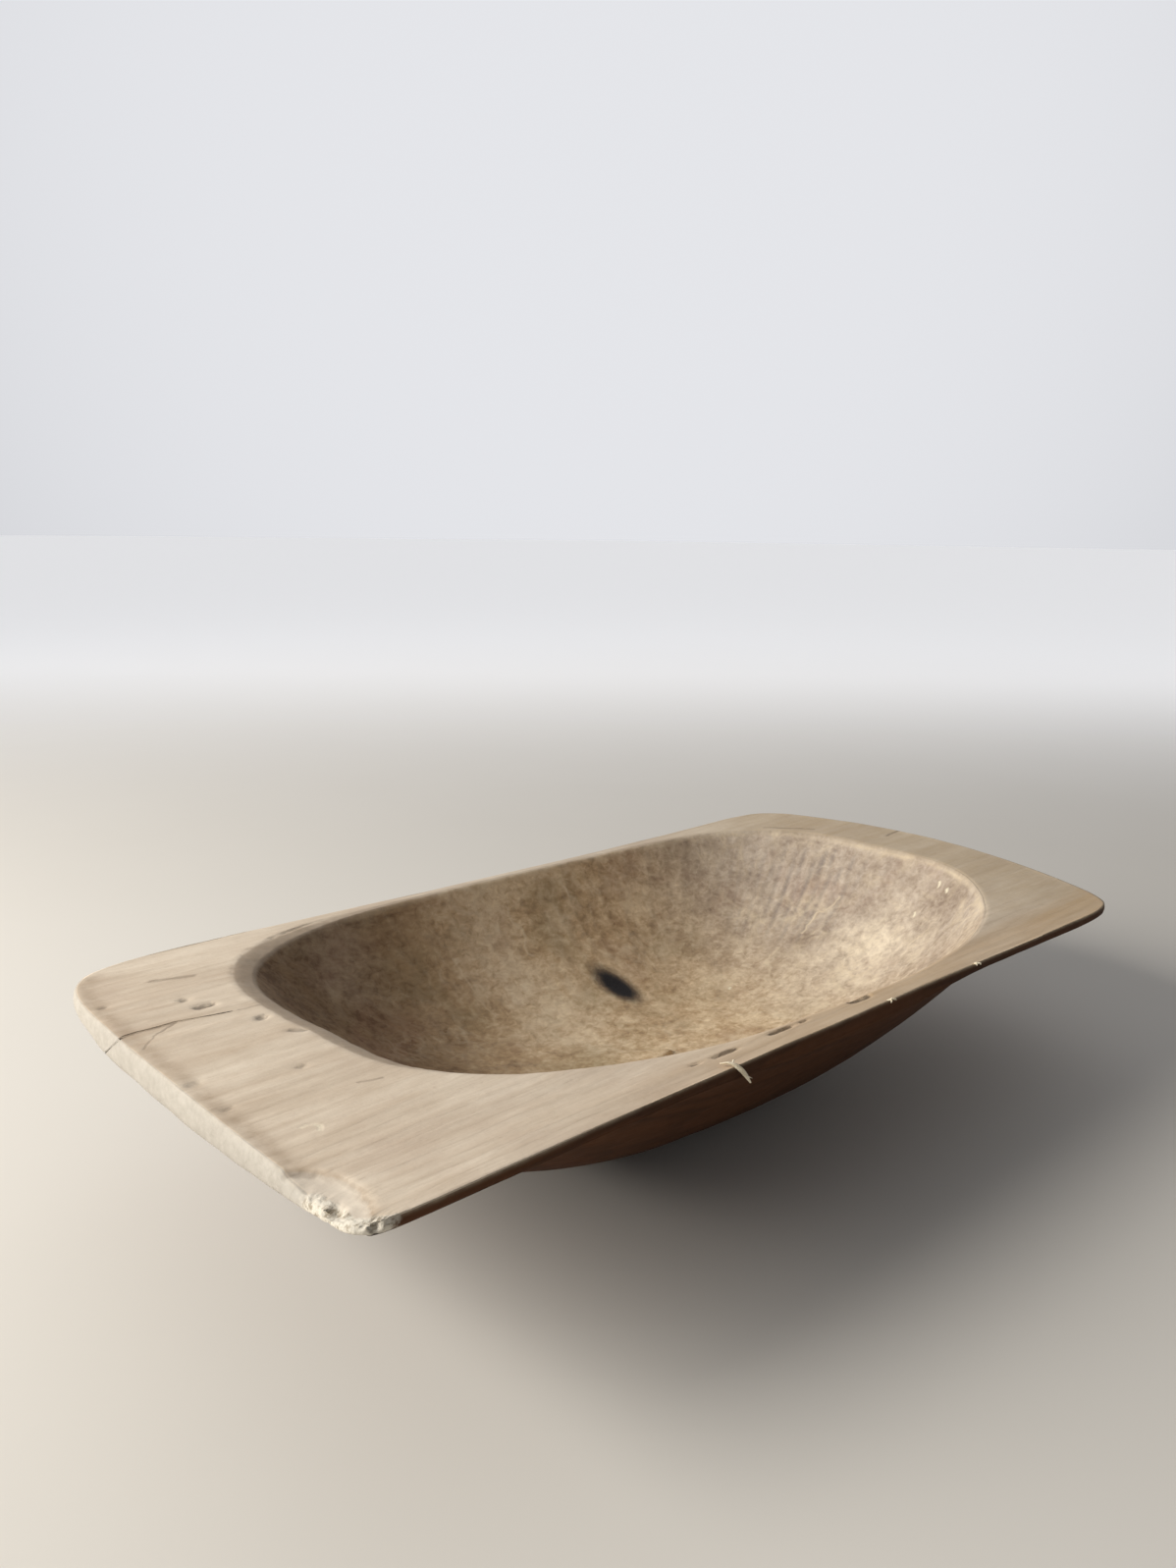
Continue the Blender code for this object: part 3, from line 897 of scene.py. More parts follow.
class Finish:
    """One material being made. Every node in it comes from node()."""

    def __init__(self, name):
        self.material = bpy.data.materials.new(name)
        self.material.use_nodes = True
        self.tree = self.material.node_tree
        self.tree.nodes.clear()
        self.place = self.node("ShaderNodeTexCoord", output="Object")
        self.x, self.y, self.z = (
            self.node("ShaderNodeSeparateXYZ", inputs={0: self.place}, output=axis) for axis in range(3)
        )

    def node(self, kind, settings=None, inputs=None, output=0):
        """A node of this kind: its settings first, then its socket values or links."""
        made = self.tree.nodes.new(kind)
        for name, value in (settings or {}).items():
            setattr(made, name, value)
        for key, value in (inputs or {}).items():
            if isinstance(value, Signal):
                self.tree.links.new(value.socket, made.inputs[key])
            else:
                made.inputs[key].default_value = value
        return Signal(self, made.outputs[output]) if len(made.outputs) else None

    def math(self, operation, *values):
        return self.node("ShaderNodeMath", {"operation": operation}, dict(enumerate(values)))

    def vector(self, operation, *values, output=0):
        return self.node("ShaderNodeVectorMath", {"operation": operation}, dict(enumerate(values)), output)

    def attribute(self, name):
        """A number kept on the mesh for each point."""
        return self.node("ShaderNodeAttribute", {"attribute_name": name}, output="Fac")

    def mix(self, share, first, second, blend="MIX"):
        """From the first colour to the second as share goes from 0 to 1."""
        settings = {"data_type": "RGBA", "blend_type": blend}
        return self.node("ShaderNodeMix", settings, {0: share, 6: first, 7: second}, output=2)

    def scaled(self, across, seed=0.0, place=None):
        """The place times one number for each axis, moved away by the seed."""
        moved = (seed * 3.1, seed * 1.7, seed * 2.3)
        return self.vector("MULTIPLY_ADD", self.place if place is None else place, across, moved)

    def cloud(self, across, seed, detail=3.0, rough_share=0.55, bend=0.0, place=None):
        """Soft noise, about -1 to 1, with this many lumps a metre along each axis."""
        inputs = {"Vector": self.scaled(across, seed, place), "Scale": 1.0, "Detail": detail}
        inputs.update({"Roughness": rough_share, "Distortion": bend})
        return (self.node("ShaderNodeTexNoise", inputs=inputs) - 0.5) * 3.6

    def bent(self, across, seed, reach):
        """The place pushed about by up to reach metres, so that straight lines wander."""
        inputs = {"Vector": self.scaled(across, seed), "Scale": 1.0, "Detail": 3.0}
        colour = self.node("ShaderNodeTexNoise", inputs=inputs, output=1)
        middle = self.vector("SUBTRACT", colour, (0.5, 0.5, 0.5))
        return self.vector("MULTIPLY_ADD", middle, (4 * reach,) * 3, self.place)

    def cracks(self, place, seed, width):
        """1 on the borders of jittered cells, fading over width (a share of a cell)."""
        inputs = {"Vector": self.vector("ADD", place, (seed,) * 3), "Scale": 1.0}
        edge = self.node("ShaderNodeTexVoronoi", {"feature": "DISTANCE_TO_EDGE"}, inputs)
        return 1 - edge.rise(0.0, width)

    def line(self, start, end, width, place=None, torn=0.0):
        """1 on the straight line between two points in plan, fading over width; torn roughens it."""
        place = self.place if place is None else place
        run = (end[0] - start[0], end[1] - start[1], 0.0)
        square = run[0] ** 2 + run[1] ** 2
        flat = self.vector("MULTIPLY", self.vector("SUBTRACT", place, (*start, 0.0)), (1.0, 1.0, 0.0))
        way = (self.vector("DOT_PRODUCT", flat, run, output="Value") / square).held()
        nearest = self.node("ShaderNodeVectorMath", {"operation": "SCALE"}, {0: run, "Scale": way})
        away = self.vector("DISTANCE", flat, nearest, output="Value")
        return 1 - (away / width + torn).rise(0.0, 1.0)

    def close(self, colour, roughness, height_mm, specular, glow=None):
        """Ends the finish: the height in millimetres becomes a bump, and a glow colour shines."""
        bumped = self.node("ShaderNodeBump", inputs={"Strength": 1.0, "Distance": MM, "Height": height_mm})
        inputs = {"Base Color": colour, "Roughness": roughness, "Normal": bumped}
        inputs["Specular IOR Level"] = specular
        if glow is not None:
            inputs.update({"Emission Color": glow, "Emission Strength": 1.0})
        shader = self.node("ShaderNodeBsdfPrincipled", inputs=inputs)
        self.node("ShaderNodeOutputMaterial", inputs={"Surface": shader})
        print(self.material.name, len(self.tree.nodes), "nodes")
        return self.material


def paint(red, green, blue):
    """A colour as a paint chart gives it (0 to 255), made linear for the shader."""
    shares = [value / 255 for value in (red, green, blue)]
    return (*(s / 12.92 if s <= 0.04045 else ((s + 0.055) / 1.055) ** 2.4 for s in shares), 1.0)


# %% [markdown]
# ## The wood
#
# The bowl is the half of a split log, so its growth rings are cylinders round a pith that lay just
# above the rim: straight lines on the shelves, long ovals in the hollow. Years of dry air have made
# the top silver tan and the end grain nearly white. The hollow stayed brown from what was kneaded
# in it, mottled olive and red, with pale worn ridges and fine scratches; painted shade darkens it
# towards the square end. The underside kept its dark brown, darkened and warmed further by painted
# shade and painted reflected light.

# %% Colours of the wood
SHELF_PALE = paint(226, 211, 190)
SHELF_DEEP = paint(180, 158, 133)
SHELF_PINK = paint(198, 176, 160)
HOLLOW_PALE = paint(242, 220, 184)
HOLLOW_MID = paint(194, 165, 128)
HOLLOW_DEEP = paint(118, 92, 66)
# painted shade: the dark brown laid over the square end of the hollow, where its wall lies in shadow
HOLLOW_SHADE = paint(100, 73, 42)
HOLLOW_PATCH = paint(240, 224, 198)
HOLLOW_END = paint(200, 188, 176)
HOLLOW_END_DEEP = paint(140, 124, 110)
# grey in the flute grooves: partly grey tone, partly painted shade
FLUTE_GROOVE_GREY_AND_SHADE = paint(134, 124, 118)
OLIVE = paint(124, 112, 78)
RED_BROWN = paint(140, 98, 80)
BOWED_TAN = paint(194, 171, 136)
NEAR_RIM_TAN = paint(194, 161, 118)
# the lip's grey, darkened beyond its tone by painted shade, as the bevel faces away from the light
LIP_GREY_AND_SHADE = paint(150, 134, 116)
END_WHITE = paint(186, 181, 172)
END_GREY = paint(148, 144, 134)
END_SHADE = paint(150, 128, 104)
FACET_PALE = paint(214, 203, 187)
CREASE_BROWN = paint(150, 130, 108)
CHIP_DEEP = paint(150, 136, 114)
CHIP_PALE = paint(222, 214, 198)
# the underside's brown, darkened and warmed beyond the wood's own by painted shade and painted reflected
# light
UNDER_BROWN_AND_SHADE = paint(94, 56, 27)
UNDER_DEEP_AND_SHADE = paint(55, 31, 13)
# pale of wear, also used as a painted highlight on the arrises and the crest
WORN_PALE_AND_HIGHLIGHT = paint(226, 208, 178)
# pale of the lifted curl, and of the painted glints on the flecks
FRESH_PALE_AND_GLINT = paint(244, 234, 206)
# near black of dirt and painted shade inside the split and the pits
DARK_DIRT_AND_SHADE = paint(34, 25, 20)
SOFT_DARK = paint(92, 72, 56)
KNOT_DARK = paint(30, 28, 29)

# %% Growth rings, fibres and the stain round the knot
PITH_Y = 0.012
PITH_Z = 0.150
RING_GAP = 0.0075
RING_WANDER = 0.0075


def grain_of(wood):
    """Growth rings (0 to 1, late wood high), long streaks and fine fibres, all along X. A ring's
    number is the distance from the pith divided by the gap between rings."""
    wander = wood.cloud((7.0, 26.0, 26.0), 3.0, 3.0) * RING_WANDER
    off_y = wood.y - PITH_Y
    off_z = wood.z - PITH_Z
    radius = (off_y * off_y + off_z * off_z) ** 0.5 + wander
    phase = (radius / RING_GAP).math("FRACT")
    late = phase.rise(0.35, 0.85) * (1 - phase.rise(0.88, 1.0))
    streak = wood.cloud((9.0, 150.0, 150.0), 5.0, 4.0, 0.6)
    fibre = wood.cloud((55.0, 900.0, 900.0), 7.0, 3.0, 0.65)
    return late, streak, fibre


def knot_halo(wood):
    """Distance from the knot's middle, 1 on its edge, a little ragged."""
    flat = wood.vector("SUBTRACT", wood.place, (*KNOT_PLACE, 0.0))
    long_way = (math.cos(KNOT_TURN) / KNOT_HALF[0], math.sin(KNOT_TURN) / KNOT_HALF[0], 0.0)
    short_way = (-math.sin(KNOT_TURN) / KNOT_HALF[1], math.cos(KNOT_TURN) / KNOT_HALF[1], 0.0)
    along = wood.vector("DOT_PRODUCT", flat, long_way, output="Value")
    across = wood.vector("DOT_PRODUCT", flat, short_way, output="Value")
    ragged = wood.cloud((260.0, 260.0, 260.0), 11.0, 3.0) * 0.10
    return (along * along + across * across) ** 0.5 + ragged


# %% [markdown]
# ## The shelves' wood
#
# Sun and dry air have bleached the flat top to a silver tan. It is streaked along the grain, with
# broad soft bands, a little pink, open pores and pale specks where the surface has lifted.

# %% Shelves


def shelf_wood(wood, late, streak, fibre):
    """Silver tan, streaked along the length."""
    broad = wood.cloud((7.0, 42.0, 42.0), 21.0, 3.0)
    patch = wood.cloud((16.0, 16.0, 16.0), 22.0, 4.0)
    speckle = wood.cloud((420.0, 620.0, 620.0), 23.0, 2.0)
    pores = wood.cloud((150.0, 620.0, 620.0), 25.0, 3.0, 0.65)
    slanted = wood.cloud((22.0, 95.0, 95.0), 24.0, 4.0, 0.6, 0.5)
    depth = 0.34 + broad * 0.26 + streak * 0.10 + slanted * 0.26 + late * 0.07
    depth = (depth + patch * 0.24 + fibre * 0.05).held()
    colour = wood.mix(depth, SHELF_PALE, SHELF_DEEP)
    colour = wood.mix((patch * 0.5).held() * 0.5, colour, SHELF_PINK)
    colour = wood.mix(pores.rise(0.30, 1.1) * 0.50, colour, SHELF_DEEP)
    return wood.mix((speckle - 0.65).held() * 0.8, colour, WORN_PALE_AND_HIGHLIGHT)


# %% [markdown]
# ## The hollow's wood
#
# What was kneaded here soaked in and stayed. The colour is brown with olive and red clouds, and
# painted shade makes it deepest at the square end, where the wall lies in shadow. Scrapers and
# scouring have left pale places, long thin scrapes, a net of wisps and short hairs, and dark scars.
# At the bowed end it is greyer, and the last strokes of the gouge still show as a fan of flutes,
# their grooves greyed, partly grey tone and partly painted shade.

# %% Hollow
# Places rubbed pale (below 0) or stained dark (above 0): middle, reach, strength.
PATCHES = (
    ((0.188, -0.022), 0.060, -0.50),
    ((0.196, -0.016), 0.028, -0.50),
    ((0.130, -0.006), 0.040, -0.28),
    ((0.228, -0.055), 0.034, 0.22),
    ((0.186, 0.033), 0.014, 0.34),
    ((0.158, -0.006), 0.012, 0.26),
    ((0.060, 0.125), 0.034, 0.14),
    ((-0.040, 0.115), 0.045, -0.32),
    ((-0.025, 0.065), 0.055, -0.30),
    ((-0.150, 0.128), 0.040, -0.20),
)
# Thin pale scrapes: start, end, half width, strength.
LIGHT_LINES = (
    ((0.1930, 0.0384), (0.2110, 0.0375), 0.0016, 0.95),
    ((0.2110, 0.0375), (0.2260, 0.0320), 0.0015, 0.90),
    ((0.1760, 0.0410), (0.1520, 0.0320), 0.0018, 0.75),
    ((0.1520, 0.0320), (0.1180, 0.0230), 0.0020, 0.65),
    ((0.1560, 0.0700), (0.1500, 0.0480), 0.0016, 0.60),
    ((0.0700, 0.0200), (0.1020, 0.0060), 0.0022, 0.50),
    ((-0.0700, 0.1180), (-0.0640, 0.0900), 0.0022, 0.60),
    ((-0.0100, 0.1330), (-0.0060, 0.1150), 0.0018, 0.70),
    ((-0.1500, 0.0700), (-0.1400, 0.0580), 0.0014, 0.65),
)


def hollow_wood(wood, late, streak, fibre):
    """Brown and mottled, with olive and red patches, pale wisps and scratches."""
    lump = wood.cloud((34.0, 44.0, 44.0), 31.0, 4.0, 0.66, 0.5)
    fine = wood.cloud((140.0, 170.0, 170.0), 32.0, 3.0, 0.62, 0.6)
    tint = wood.cloud((19.0, 19.0, 19.0), 33.0, 3.0, 0.5, 0.4)
    to_bowed_end = (wood.x + lump * 0.02).rise(0.06, 0.22)
    # painted shade: this share darkens the hollow and fades its pale marks towards the square end
    square_end_shade = (wood.x + lump * 0.03).rise(-0.02, -0.17)
    curly = wood.cloud((170.0, 220.0, 220.0), 47.0, 2.0, 0.5, 0.9)
    mottle = fine * 0.22 + curly * 0.20
    depth = 0.37 + lump * 0.27 + mottle + late * 0.06 + streak * 0.04 + fibre * 0.03
    flat_place = wood.vector("MULTIPLY", wood.place, (1.0, 1.0, 0.0))
    pale = 0.0
    for middle, reach, strength in PATCHES:
        away = wood.vector("DISTANCE", flat_place, (*middle, 0.0), output="Value")
        patch = (1 - (away / reach + lump * 0.30 + fine * 0.10).rise(0.1, 1.0)) * abs(strength)
        if strength > 0:
            depth = depth + patch
        else:
            pale = patch + pale
    depth = (depth.held() + square_end_shade * 0.42).held()
    colour = wood.mix((depth * 2.0).held(), HOLLOW_PALE, HOLLOW_MID)
    colour = wood.mix((depth * 2.0 - 1.0).held(), colour, HOLLOW_DEEP)
    # painted shade towards the square end of the hollow
    colour = wood.mix((square_end_shade * (0.46 - mottle * 0.5)).held(), colour, HOLLOW_SHADE)
    greyed = wood.mix((depth * 1.15).held(), HOLLOW_END, HOLLOW_END_DEEP)
    colour = wood.mix(to_bowed_end * 0.8, colour, greyed)
    colour = wood.mix((tint - 0.12).held() * 0.5 * (1 - to_bowed_end), colour, OLIVE)
    colour = wood.mix((tint * -1.0 - 0.22).held() * 0.5, colour, RED_BROWN)
    flute = wood.attribute("flute")
    # painted shade, partly grey tone: the flute grooves are greyed and darkened
    colour = wood.mix((flute * (0.8 + fine * 0.4)).held() * 0.85, colour, FLUTE_GROOVE_GREY_AND_SHADE)
    bent = wood.bent((26.0, 26.0, 26.0), 35.0, 0.010)
    patchy = wood.cloud((30.0, 30.0, 30.0), 36.0, 3.0).rise(-0.4, 0.9)
    level_lines = wood.cloud((58.0, 40.0, 40.0), 40.0, 3.0, 0.6, place=bent).math("ABSOLUTE")
    soft_wisps = 1 - (level_lines / 0.20).held()
    wisps = wood.cracks(wood.vector("MULTIPLY", bent, (52.0, 38.0, 38.0)), 2.0, 0.13) * patchy
    hair_place = wood.vector("MULTIPLY", wood.bent((60.0, 60.0, 60.0), 37.0, 0.003), (80.0, 210.0, 140.0))
    hairs = wood.cracks(hair_place, 4.0, 0.09) * wood.cloud((48.0, 48.0, 48.0), 38.0, 2.0).rise(0.0, 1.0)
    down_wall = wood.cloud((260.0, 26.0, 26.0), 39.0, 3.0, 0.6, place=bent).rise(0.35, 1.4)
    down_wall = down_wall * wood.y.rise(0.05, 0.12)
    light = wisps * 0.62 + soft_wisps * patchy * 0.55 + hairs * 0.34 + down_wall * 0.8
    for start, end, width, strength in LIGHT_LINES:
        light = light.math("MAXIMUM", wood.line(start, end, width, bent) * strength)
    light = ((light + wood.attribute("ridge") * 0.28) * (1 - square_end_shade * 0.6)).held()
    scars = wood.cloud((190.0, 230.0, 230.0), 44.0, 2.0, 0.5, 0.2).rise(0.75, 1.2)
    scars = scars * wood.cloud((22.0, 22.0, 22.0), 45.0, 2.0).rise(0.0, 0.8)
    pale = (pale * (0.75 - mottle * 1.3)).held()
    colour = wood.mix(pale, colour, HOLLOW_PATCH)
    colour = wood.mix((light * 0.62).held(), colour, WORN_PALE_AND_HIGHLIGHT)
    return wood.mix(scars * 0.40, colour, HOLLOW_DEEP), light - scars


# %% [markdown]
# ## The rest of the wood
#
# The bowed end and the near rim are browner, where hands and oil have been. The lip is grey, darker
# still from painted shade. The underside and the near edge keep the dark brown of the bark side,
# darkened and warmed further by painted shade and painted reflected light, and the square end is
# weathered end grain, nearly white. Arrises are rubbed pale, with a painted highlight on them, and the
# broken corner shows torn fresh wood.

# %% Sides, underside and ends


def brown_places(wood, colour, streak, ragged):
    """The browner bowed end and near rim, laid over the shelves' wood."""
    browner = wood.x.rise(0.10, 0.28)
    colour = wood.mix((browner * (0.55 + streak * 0.2 + ragged * 0.1)).held(), colour, BOWED_TAN)
    near_rim = wood.y.rise(-0.118, -0.138) * wood.x.rise(-0.24, -0.02)
    return wood.mix(near_rim * (0.48 + streak * 0.15), colour, NEAR_RIM_TAN)


def end_wood(wood, colour, ragged, coarse):
    """The pale end grain, the brown line just inside it, and the pared corner with its crease."""
    end_face = (wood.attribute("end_face") + ragged * 0.13).rise(0.3, 0.75)
    end_grain = wood.mix((0.35 + coarse * 0.22 + ragged * 0.22).held(), END_WHITE, END_GREY)
    colour = wood.mix(end_face * 0.85, colour, end_grain)
    inner_shade = (wood.attribute("inner_shade") * (0.75 + ragged * 0.6)).held()
    colour = wood.mix(inner_shade * 0.45, colour, END_SHADE)
    facet = (wood.attribute("facet") + ragged * 0.08).rise(0.3, 0.7) * (1 - end_face)
    colour = wood.mix(facet * 0.7, colour, FACET_PALE)
    crease = wood.attribute("facet") * (1 - wood.attribute("facet")) * 4.0 * (1 - end_face)
    return wood.mix((crease * (0.6 + coarse * 0.4)).held() * 0.45, colour, CREASE_BROWN)


def worn_wood(wood, colour, worn_and_highlight, coarse, chip):
    """The arrises, rubbed pale and with a painted highlight, the broken painted highlight along the crest,
    and the crumbled corner.
    """
    # wear and painted highlight on the arrises and the crest
    colour = wood.mix(worn_and_highlight * 0.45, colour, WORN_PALE_AND_HIGHLIGHT)
    broken = wood.cloud((70.0, 70.0, 70.0), 48.0, 3.0).rise(-0.7, 0.6)
    crest_light = (wood.attribute("crest") * (0.25 + broken * 0.9 + coarse * 0.25)).held()
    colour = wood.mix(crest_light * 0.85, colour, WORN_PALE_AND_HIGHLIGHT)
    flakes = wood.cloud((240.0, 420.0, 420.0), 46.0, 3.0, 0.7)
    return wood.mix(chip * 0.9, colour, wood.mix(flakes.rise(-0.75, 0.25), CHIP_DEEP, CHIP_PALE))


# %% [markdown]
# ## Marks on the shelves
#
# Dark lines of dirt lie along the grain, and the split and the pits are nearly black inside, from
# dirt and painted shade, darker where deeper. A few flecks carry painted glints, and one small curl
# of lifted wood shows pale on one side.

# %% Marks
# Dark lines along the grain: start, end, half width, strength.
STREAKS = (
    ((-0.2680, 0.1125), (-0.2480, 0.1070), 0.0028, 0.50),
    ((-0.2620, 0.1110), (-0.2500, 0.1075), 0.0013, 0.50),
    ((-0.2480, -0.0560), (-0.2380, -0.0590), 0.0016, 0.40),
    ((0.2360, 0.1150), (0.2600, 0.0850), 0.0022, 0.55),
    ((0.2880, 0.0350), (0.3100, 0.0360), 0.0024, 0.60),
    ((-0.2800, 0.0558), (-0.2910, 0.0492), 0.0014, 0.50),
    ((-0.2910, 0.0492), (-0.3040, 0.0360), 0.0012, 0.35),
    ((-0.2500, 0.0505), (-0.2380, 0.0490), 0.0014, 0.35),
    ((-0.3060, -0.1005), (-0.2990, -0.1085), 0.0024, 0.45),
)
# painted glints: pale spots standing in for glints of light
GLINT_SPECKS = ((0.243, -0.040), (0.237, -0.050), (0.224, -0.034), (0.110, 0.039))
SPECK_RUN = (0.002, 0.001)
SPECK_HALF = 0.0016
CURL_PLACE = (-0.284, -0.079)
CURL_SIZE = 0.0045
CURL_HALF = 0.0020


def dark_marks(wood, bent, ragged, coarse):
    """Two shares from 0 to 1: a soft brown shade in streaks and torn wood, and the dark of holes, dirt
    and painted shade in the split and the pits. A deeper dent is darker, as painted shade."""
    shade = (wood.attribute("torn") * (0.8 + coarse * 0.5)).held() * 0.75
    for start, end, width, strength in STREAKS:
        shade = shade.math("MAXIMUM", wood.line(start, end, width, bent, ragged * 0.3) * strength)
    # painted shade, with dirt: the split and the pits are darkened, more in a deeper dent
    hole_dirt_and_shade = wood.attribute("split").rise(0.1, 0.7)
    for start, end, half_width, deep in DENTS:
        dent = wood.line(start, end, half_width * 1.4, bent, ragged * 0.32 + coarse * 0.22)
        hole_dirt_and_shade = hole_dirt_and_shade.math("MAXIMUM", dent * min(0.10 + 420 * deep, 0.80))
    return shade, hole_dirt_and_shade


def bright_marks(wood, bent, coarse):
    """The flecks, painted glints, and the pale curl: a ring round its middle, of which one side shows."""
    glints_and_curl = 0.0
    for place in GLINT_SPECKS:
        tip = (place[0] + SPECK_RUN[0], place[1] + SPECK_RUN[1])
        glints_and_curl = wood.line(place, tip, SPECK_HALF, bent) * 0.8 + glints_and_curl
    flat_bent = wood.vector("MULTIPLY", bent, (1.0, 1.0, 0.0))
    curl_way = wood.vector("DISTANCE", flat_bent, (*CURL_PLACE, 0.0), output="Value")
    curl = 1 - ((curl_way - CURL_SIZE).math("ABSOLUTE") / CURL_HALF).rise(0.2, 1.0)
    curl = curl * (wood.y - CURL_PLACE[1] + (wood.x - CURL_PLACE[0]) * 1.5).rise(-0.001, 0.002)
    return (glints_and_curl + curl * (0.32 + coarse * 0.55)).held(), curl


# %% The bowl's finish


def weathered_wood():
    """The parts of the wood laid over each other, from the shelves to the marks on them."""
    wood = Finish("weathered_wood")
    late, streak, fibre = grain_of(wood)
    ragged = wood.cloud((130.0, 160.0, 160.0), 41.0, 4.0)
    coarse = wood.cloud((330.0, 330.0, 330.0), 42.0, 3.0)
    bent = wood.bent((90.0, 90.0, 90.0), 43.0, 0.0011)

    colour = brown_places(wood, shelf_wood(wood, late, streak, fibre), streak, ragged)
    inside, light = hollow_wood(wood, late, streak, fibre)
    hollow = (wood.attribute("hollow") + ragged * 0.06).rise(0.35, 0.75)
    colour = wood.mix(hollow, colour, inside)
    lip = (wood.attribute("lip") + ragged * 0.10).rise(0.25, 0.7)
    # painted shade, partly grey tone: the bevel of the lip is greyed and darkened
    colour = wood.mix(lip * 0.75, colour, wood.mix((0.5 + coarse * 0.3).held(), LIP_GREY_AND_SHADE, SHELF_DEEP))
    under = (wood.attribute("under") + ragged * 0.08).rise(0.3, 0.8)
    under_depth = (0.45 + streak * 0.28 + late * 0.22 + ragged * 0.12).held()
    # painted shade and painted reflected light: the underside and the near side face are dark warm brown
    colour = wood.mix(under, colour, wood.mix(under_depth, UNDER_BROWN_AND_SHADE, UNDER_DEEP_AND_SHADE))
    colour = end_wood(wood, colour, ragged, coarse)
    worn_and_highlight = (wood.attribute("worn_and_highlight") * (0.75 + ragged * 0.5)).held()
    chip = (wood.attribute("chip") + coarse * 0.30).rise(0.30, 0.75)
    colour = worn_wood(wood, colour, worn_and_highlight, coarse, chip)

    shade, hole_dirt_and_shade = dark_marks(wood, bent, ragged, coarse)
    shade = shade * (1 - under)
    hole_dirt_and_shade = hole_dirt_and_shade * (1 - under)
    colour = wood.mix((shade * (0.85 + ragged * 0.4)).held(), colour, SOFT_DARK)
    # painted shade and dirt in the split and the pits
    colour = wood.mix((hole_dirt_and_shade * (0.9 + ragged * 0.35)).held(), colour, DARK_DIRT_AND_SHADE)
    glints_and_curl, curl = bright_marks(wood, bent, coarse)
    # painted glints on the flecks, and the pale curl
    colour = wood.mix(glints_and_curl, colour, FRESH_PALE_AND_GLINT)
    halo = (1 - knot_halo(wood).rise(*KNOT_FADE)) * wood.attribute("hollow").rise(0.9, 1.0)
    colour = wood.mix(halo, colour, KNOT_DARK)

    height = fibre * 0.035 + streak * 0.05 + ragged * 0.05 + coarse * 0.03 + late * 0.05
    height = height + (chip * coarse + wood.attribute("chip") * ragged) * 0.22 + light * hollow * 0.10
    height = height - shade * 0.25 - hole_dirt_and_shade * 0.5 - curl * 0.12
    roughness = (0.74 + ragged * 0.05 + fibre * 0.03 - worn_and_highlight * 0.10 - hollow * 0.08).held()
    return wood.close(colour, roughness, height, 0.20)


bowl = add_piece("carved_bowl", bowl_mesh, weathered_wood())
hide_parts("bowl_body")

# %% [markdown]
# ## The dead knot
#
# A branch stub that was already dead when the tree grew round it. It is nearly black, much denser
# than the wood, and has shrunk a hair below it. Only its flush top shows. It is a thin closed lens
# that follows the hollow, with its rim tucked just under the wood.

# %% Knot
KNOT_RINGS = 18
KNOT_STATIONS = 56
KNOT_CROWN = 0.00035
KNOT_TUCK = 0.00020
KNOT_UNDER = 0.0025


def hollow_height(x, y):
    """The hollow before tool marks: depth x (1 - share^p), the share being the leaning squared
    oval's radius."""
    out_y = (y - HOLLOW_MIDDLE[1]) / HOLLOW_HALF[1]
    out_x = (x - HOLLOW_MIDDLE[0] - HOLLOW_SKEW * (y - HOLLOW_MIDDLE[1])) / HOLLOW_HALF[0]
    power = power_at(out_x, out_y, HOLLOW_POWERS)
    share = (np.abs(out_x) ** power + np.abs(out_y) ** power) ** (1 / power)
    end_on = out_x**2 / (out_x**2 + out_y**2)
    wall = SIDE_WALL_POWER + (END_WALL_POWER - SIDE_WALL_POWER) * end_on
    return rim(x, y) - SIDE_LIP_DROP * share - (HOLLOW_DEPTH - SIDE_LIP_DROP) * (1 - share**wall)


def knot_grid():
    """Out along the top from the middle to the edge, then back under. With r from 0 to 1, the
    height over the dish is crown x (1 - r^6) - tuck x r^12, and underneath -under x (1 - r^2)."""
    back = np.linspace(0.98, 0.04, KNOT_RINGS // 2)
    out = np.concatenate([np.linspace(0.04, 1, KNOT_RINGS), back])[:, None]
    turn = np.linspace(0, 2 * np.pi, KNOT_STATIONS, endpoint=False)[None, :]
    reach = out * (1 + 0.05 * np.sin(3 * turn + 1) + 0.03 * np.sin(5 * turn))
    along, across = KNOT_HALF[0] * reach * np.cos(turn), KNOT_HALF[1] * reach * np.sin(turn)
    x = KNOT_PLACE[0] + along * math.cos(KNOT_TURN) - across * math.sin(KNOT_TURN)
    y = KNOT_PLACE[1] + along * math.sin(KNOT_TURN) + across * math.cos(KNOT_TURN)
    dish = KNOT_DISH * np.exp(-(knot_radius(x, y) ** 2) / 1.4)
    top = KNOT_CROWN * (1 - out**6) - KNOT_TUCK * out**12
    under = (np.arange(len(out)) >= KNOT_RINGS)[:, None]
    place = np.stack([x, y, np.zeros_like(x)], axis=-1)
    top = top + rough(place, 0.006, 71, 2) * 0.0001
    over_dish = np.where(under, -KNOT_UNDER * (1 - out**2), top)
    return np.stack([x, y, hollow_height(x, y) - dish + over_dish], axis=-1)


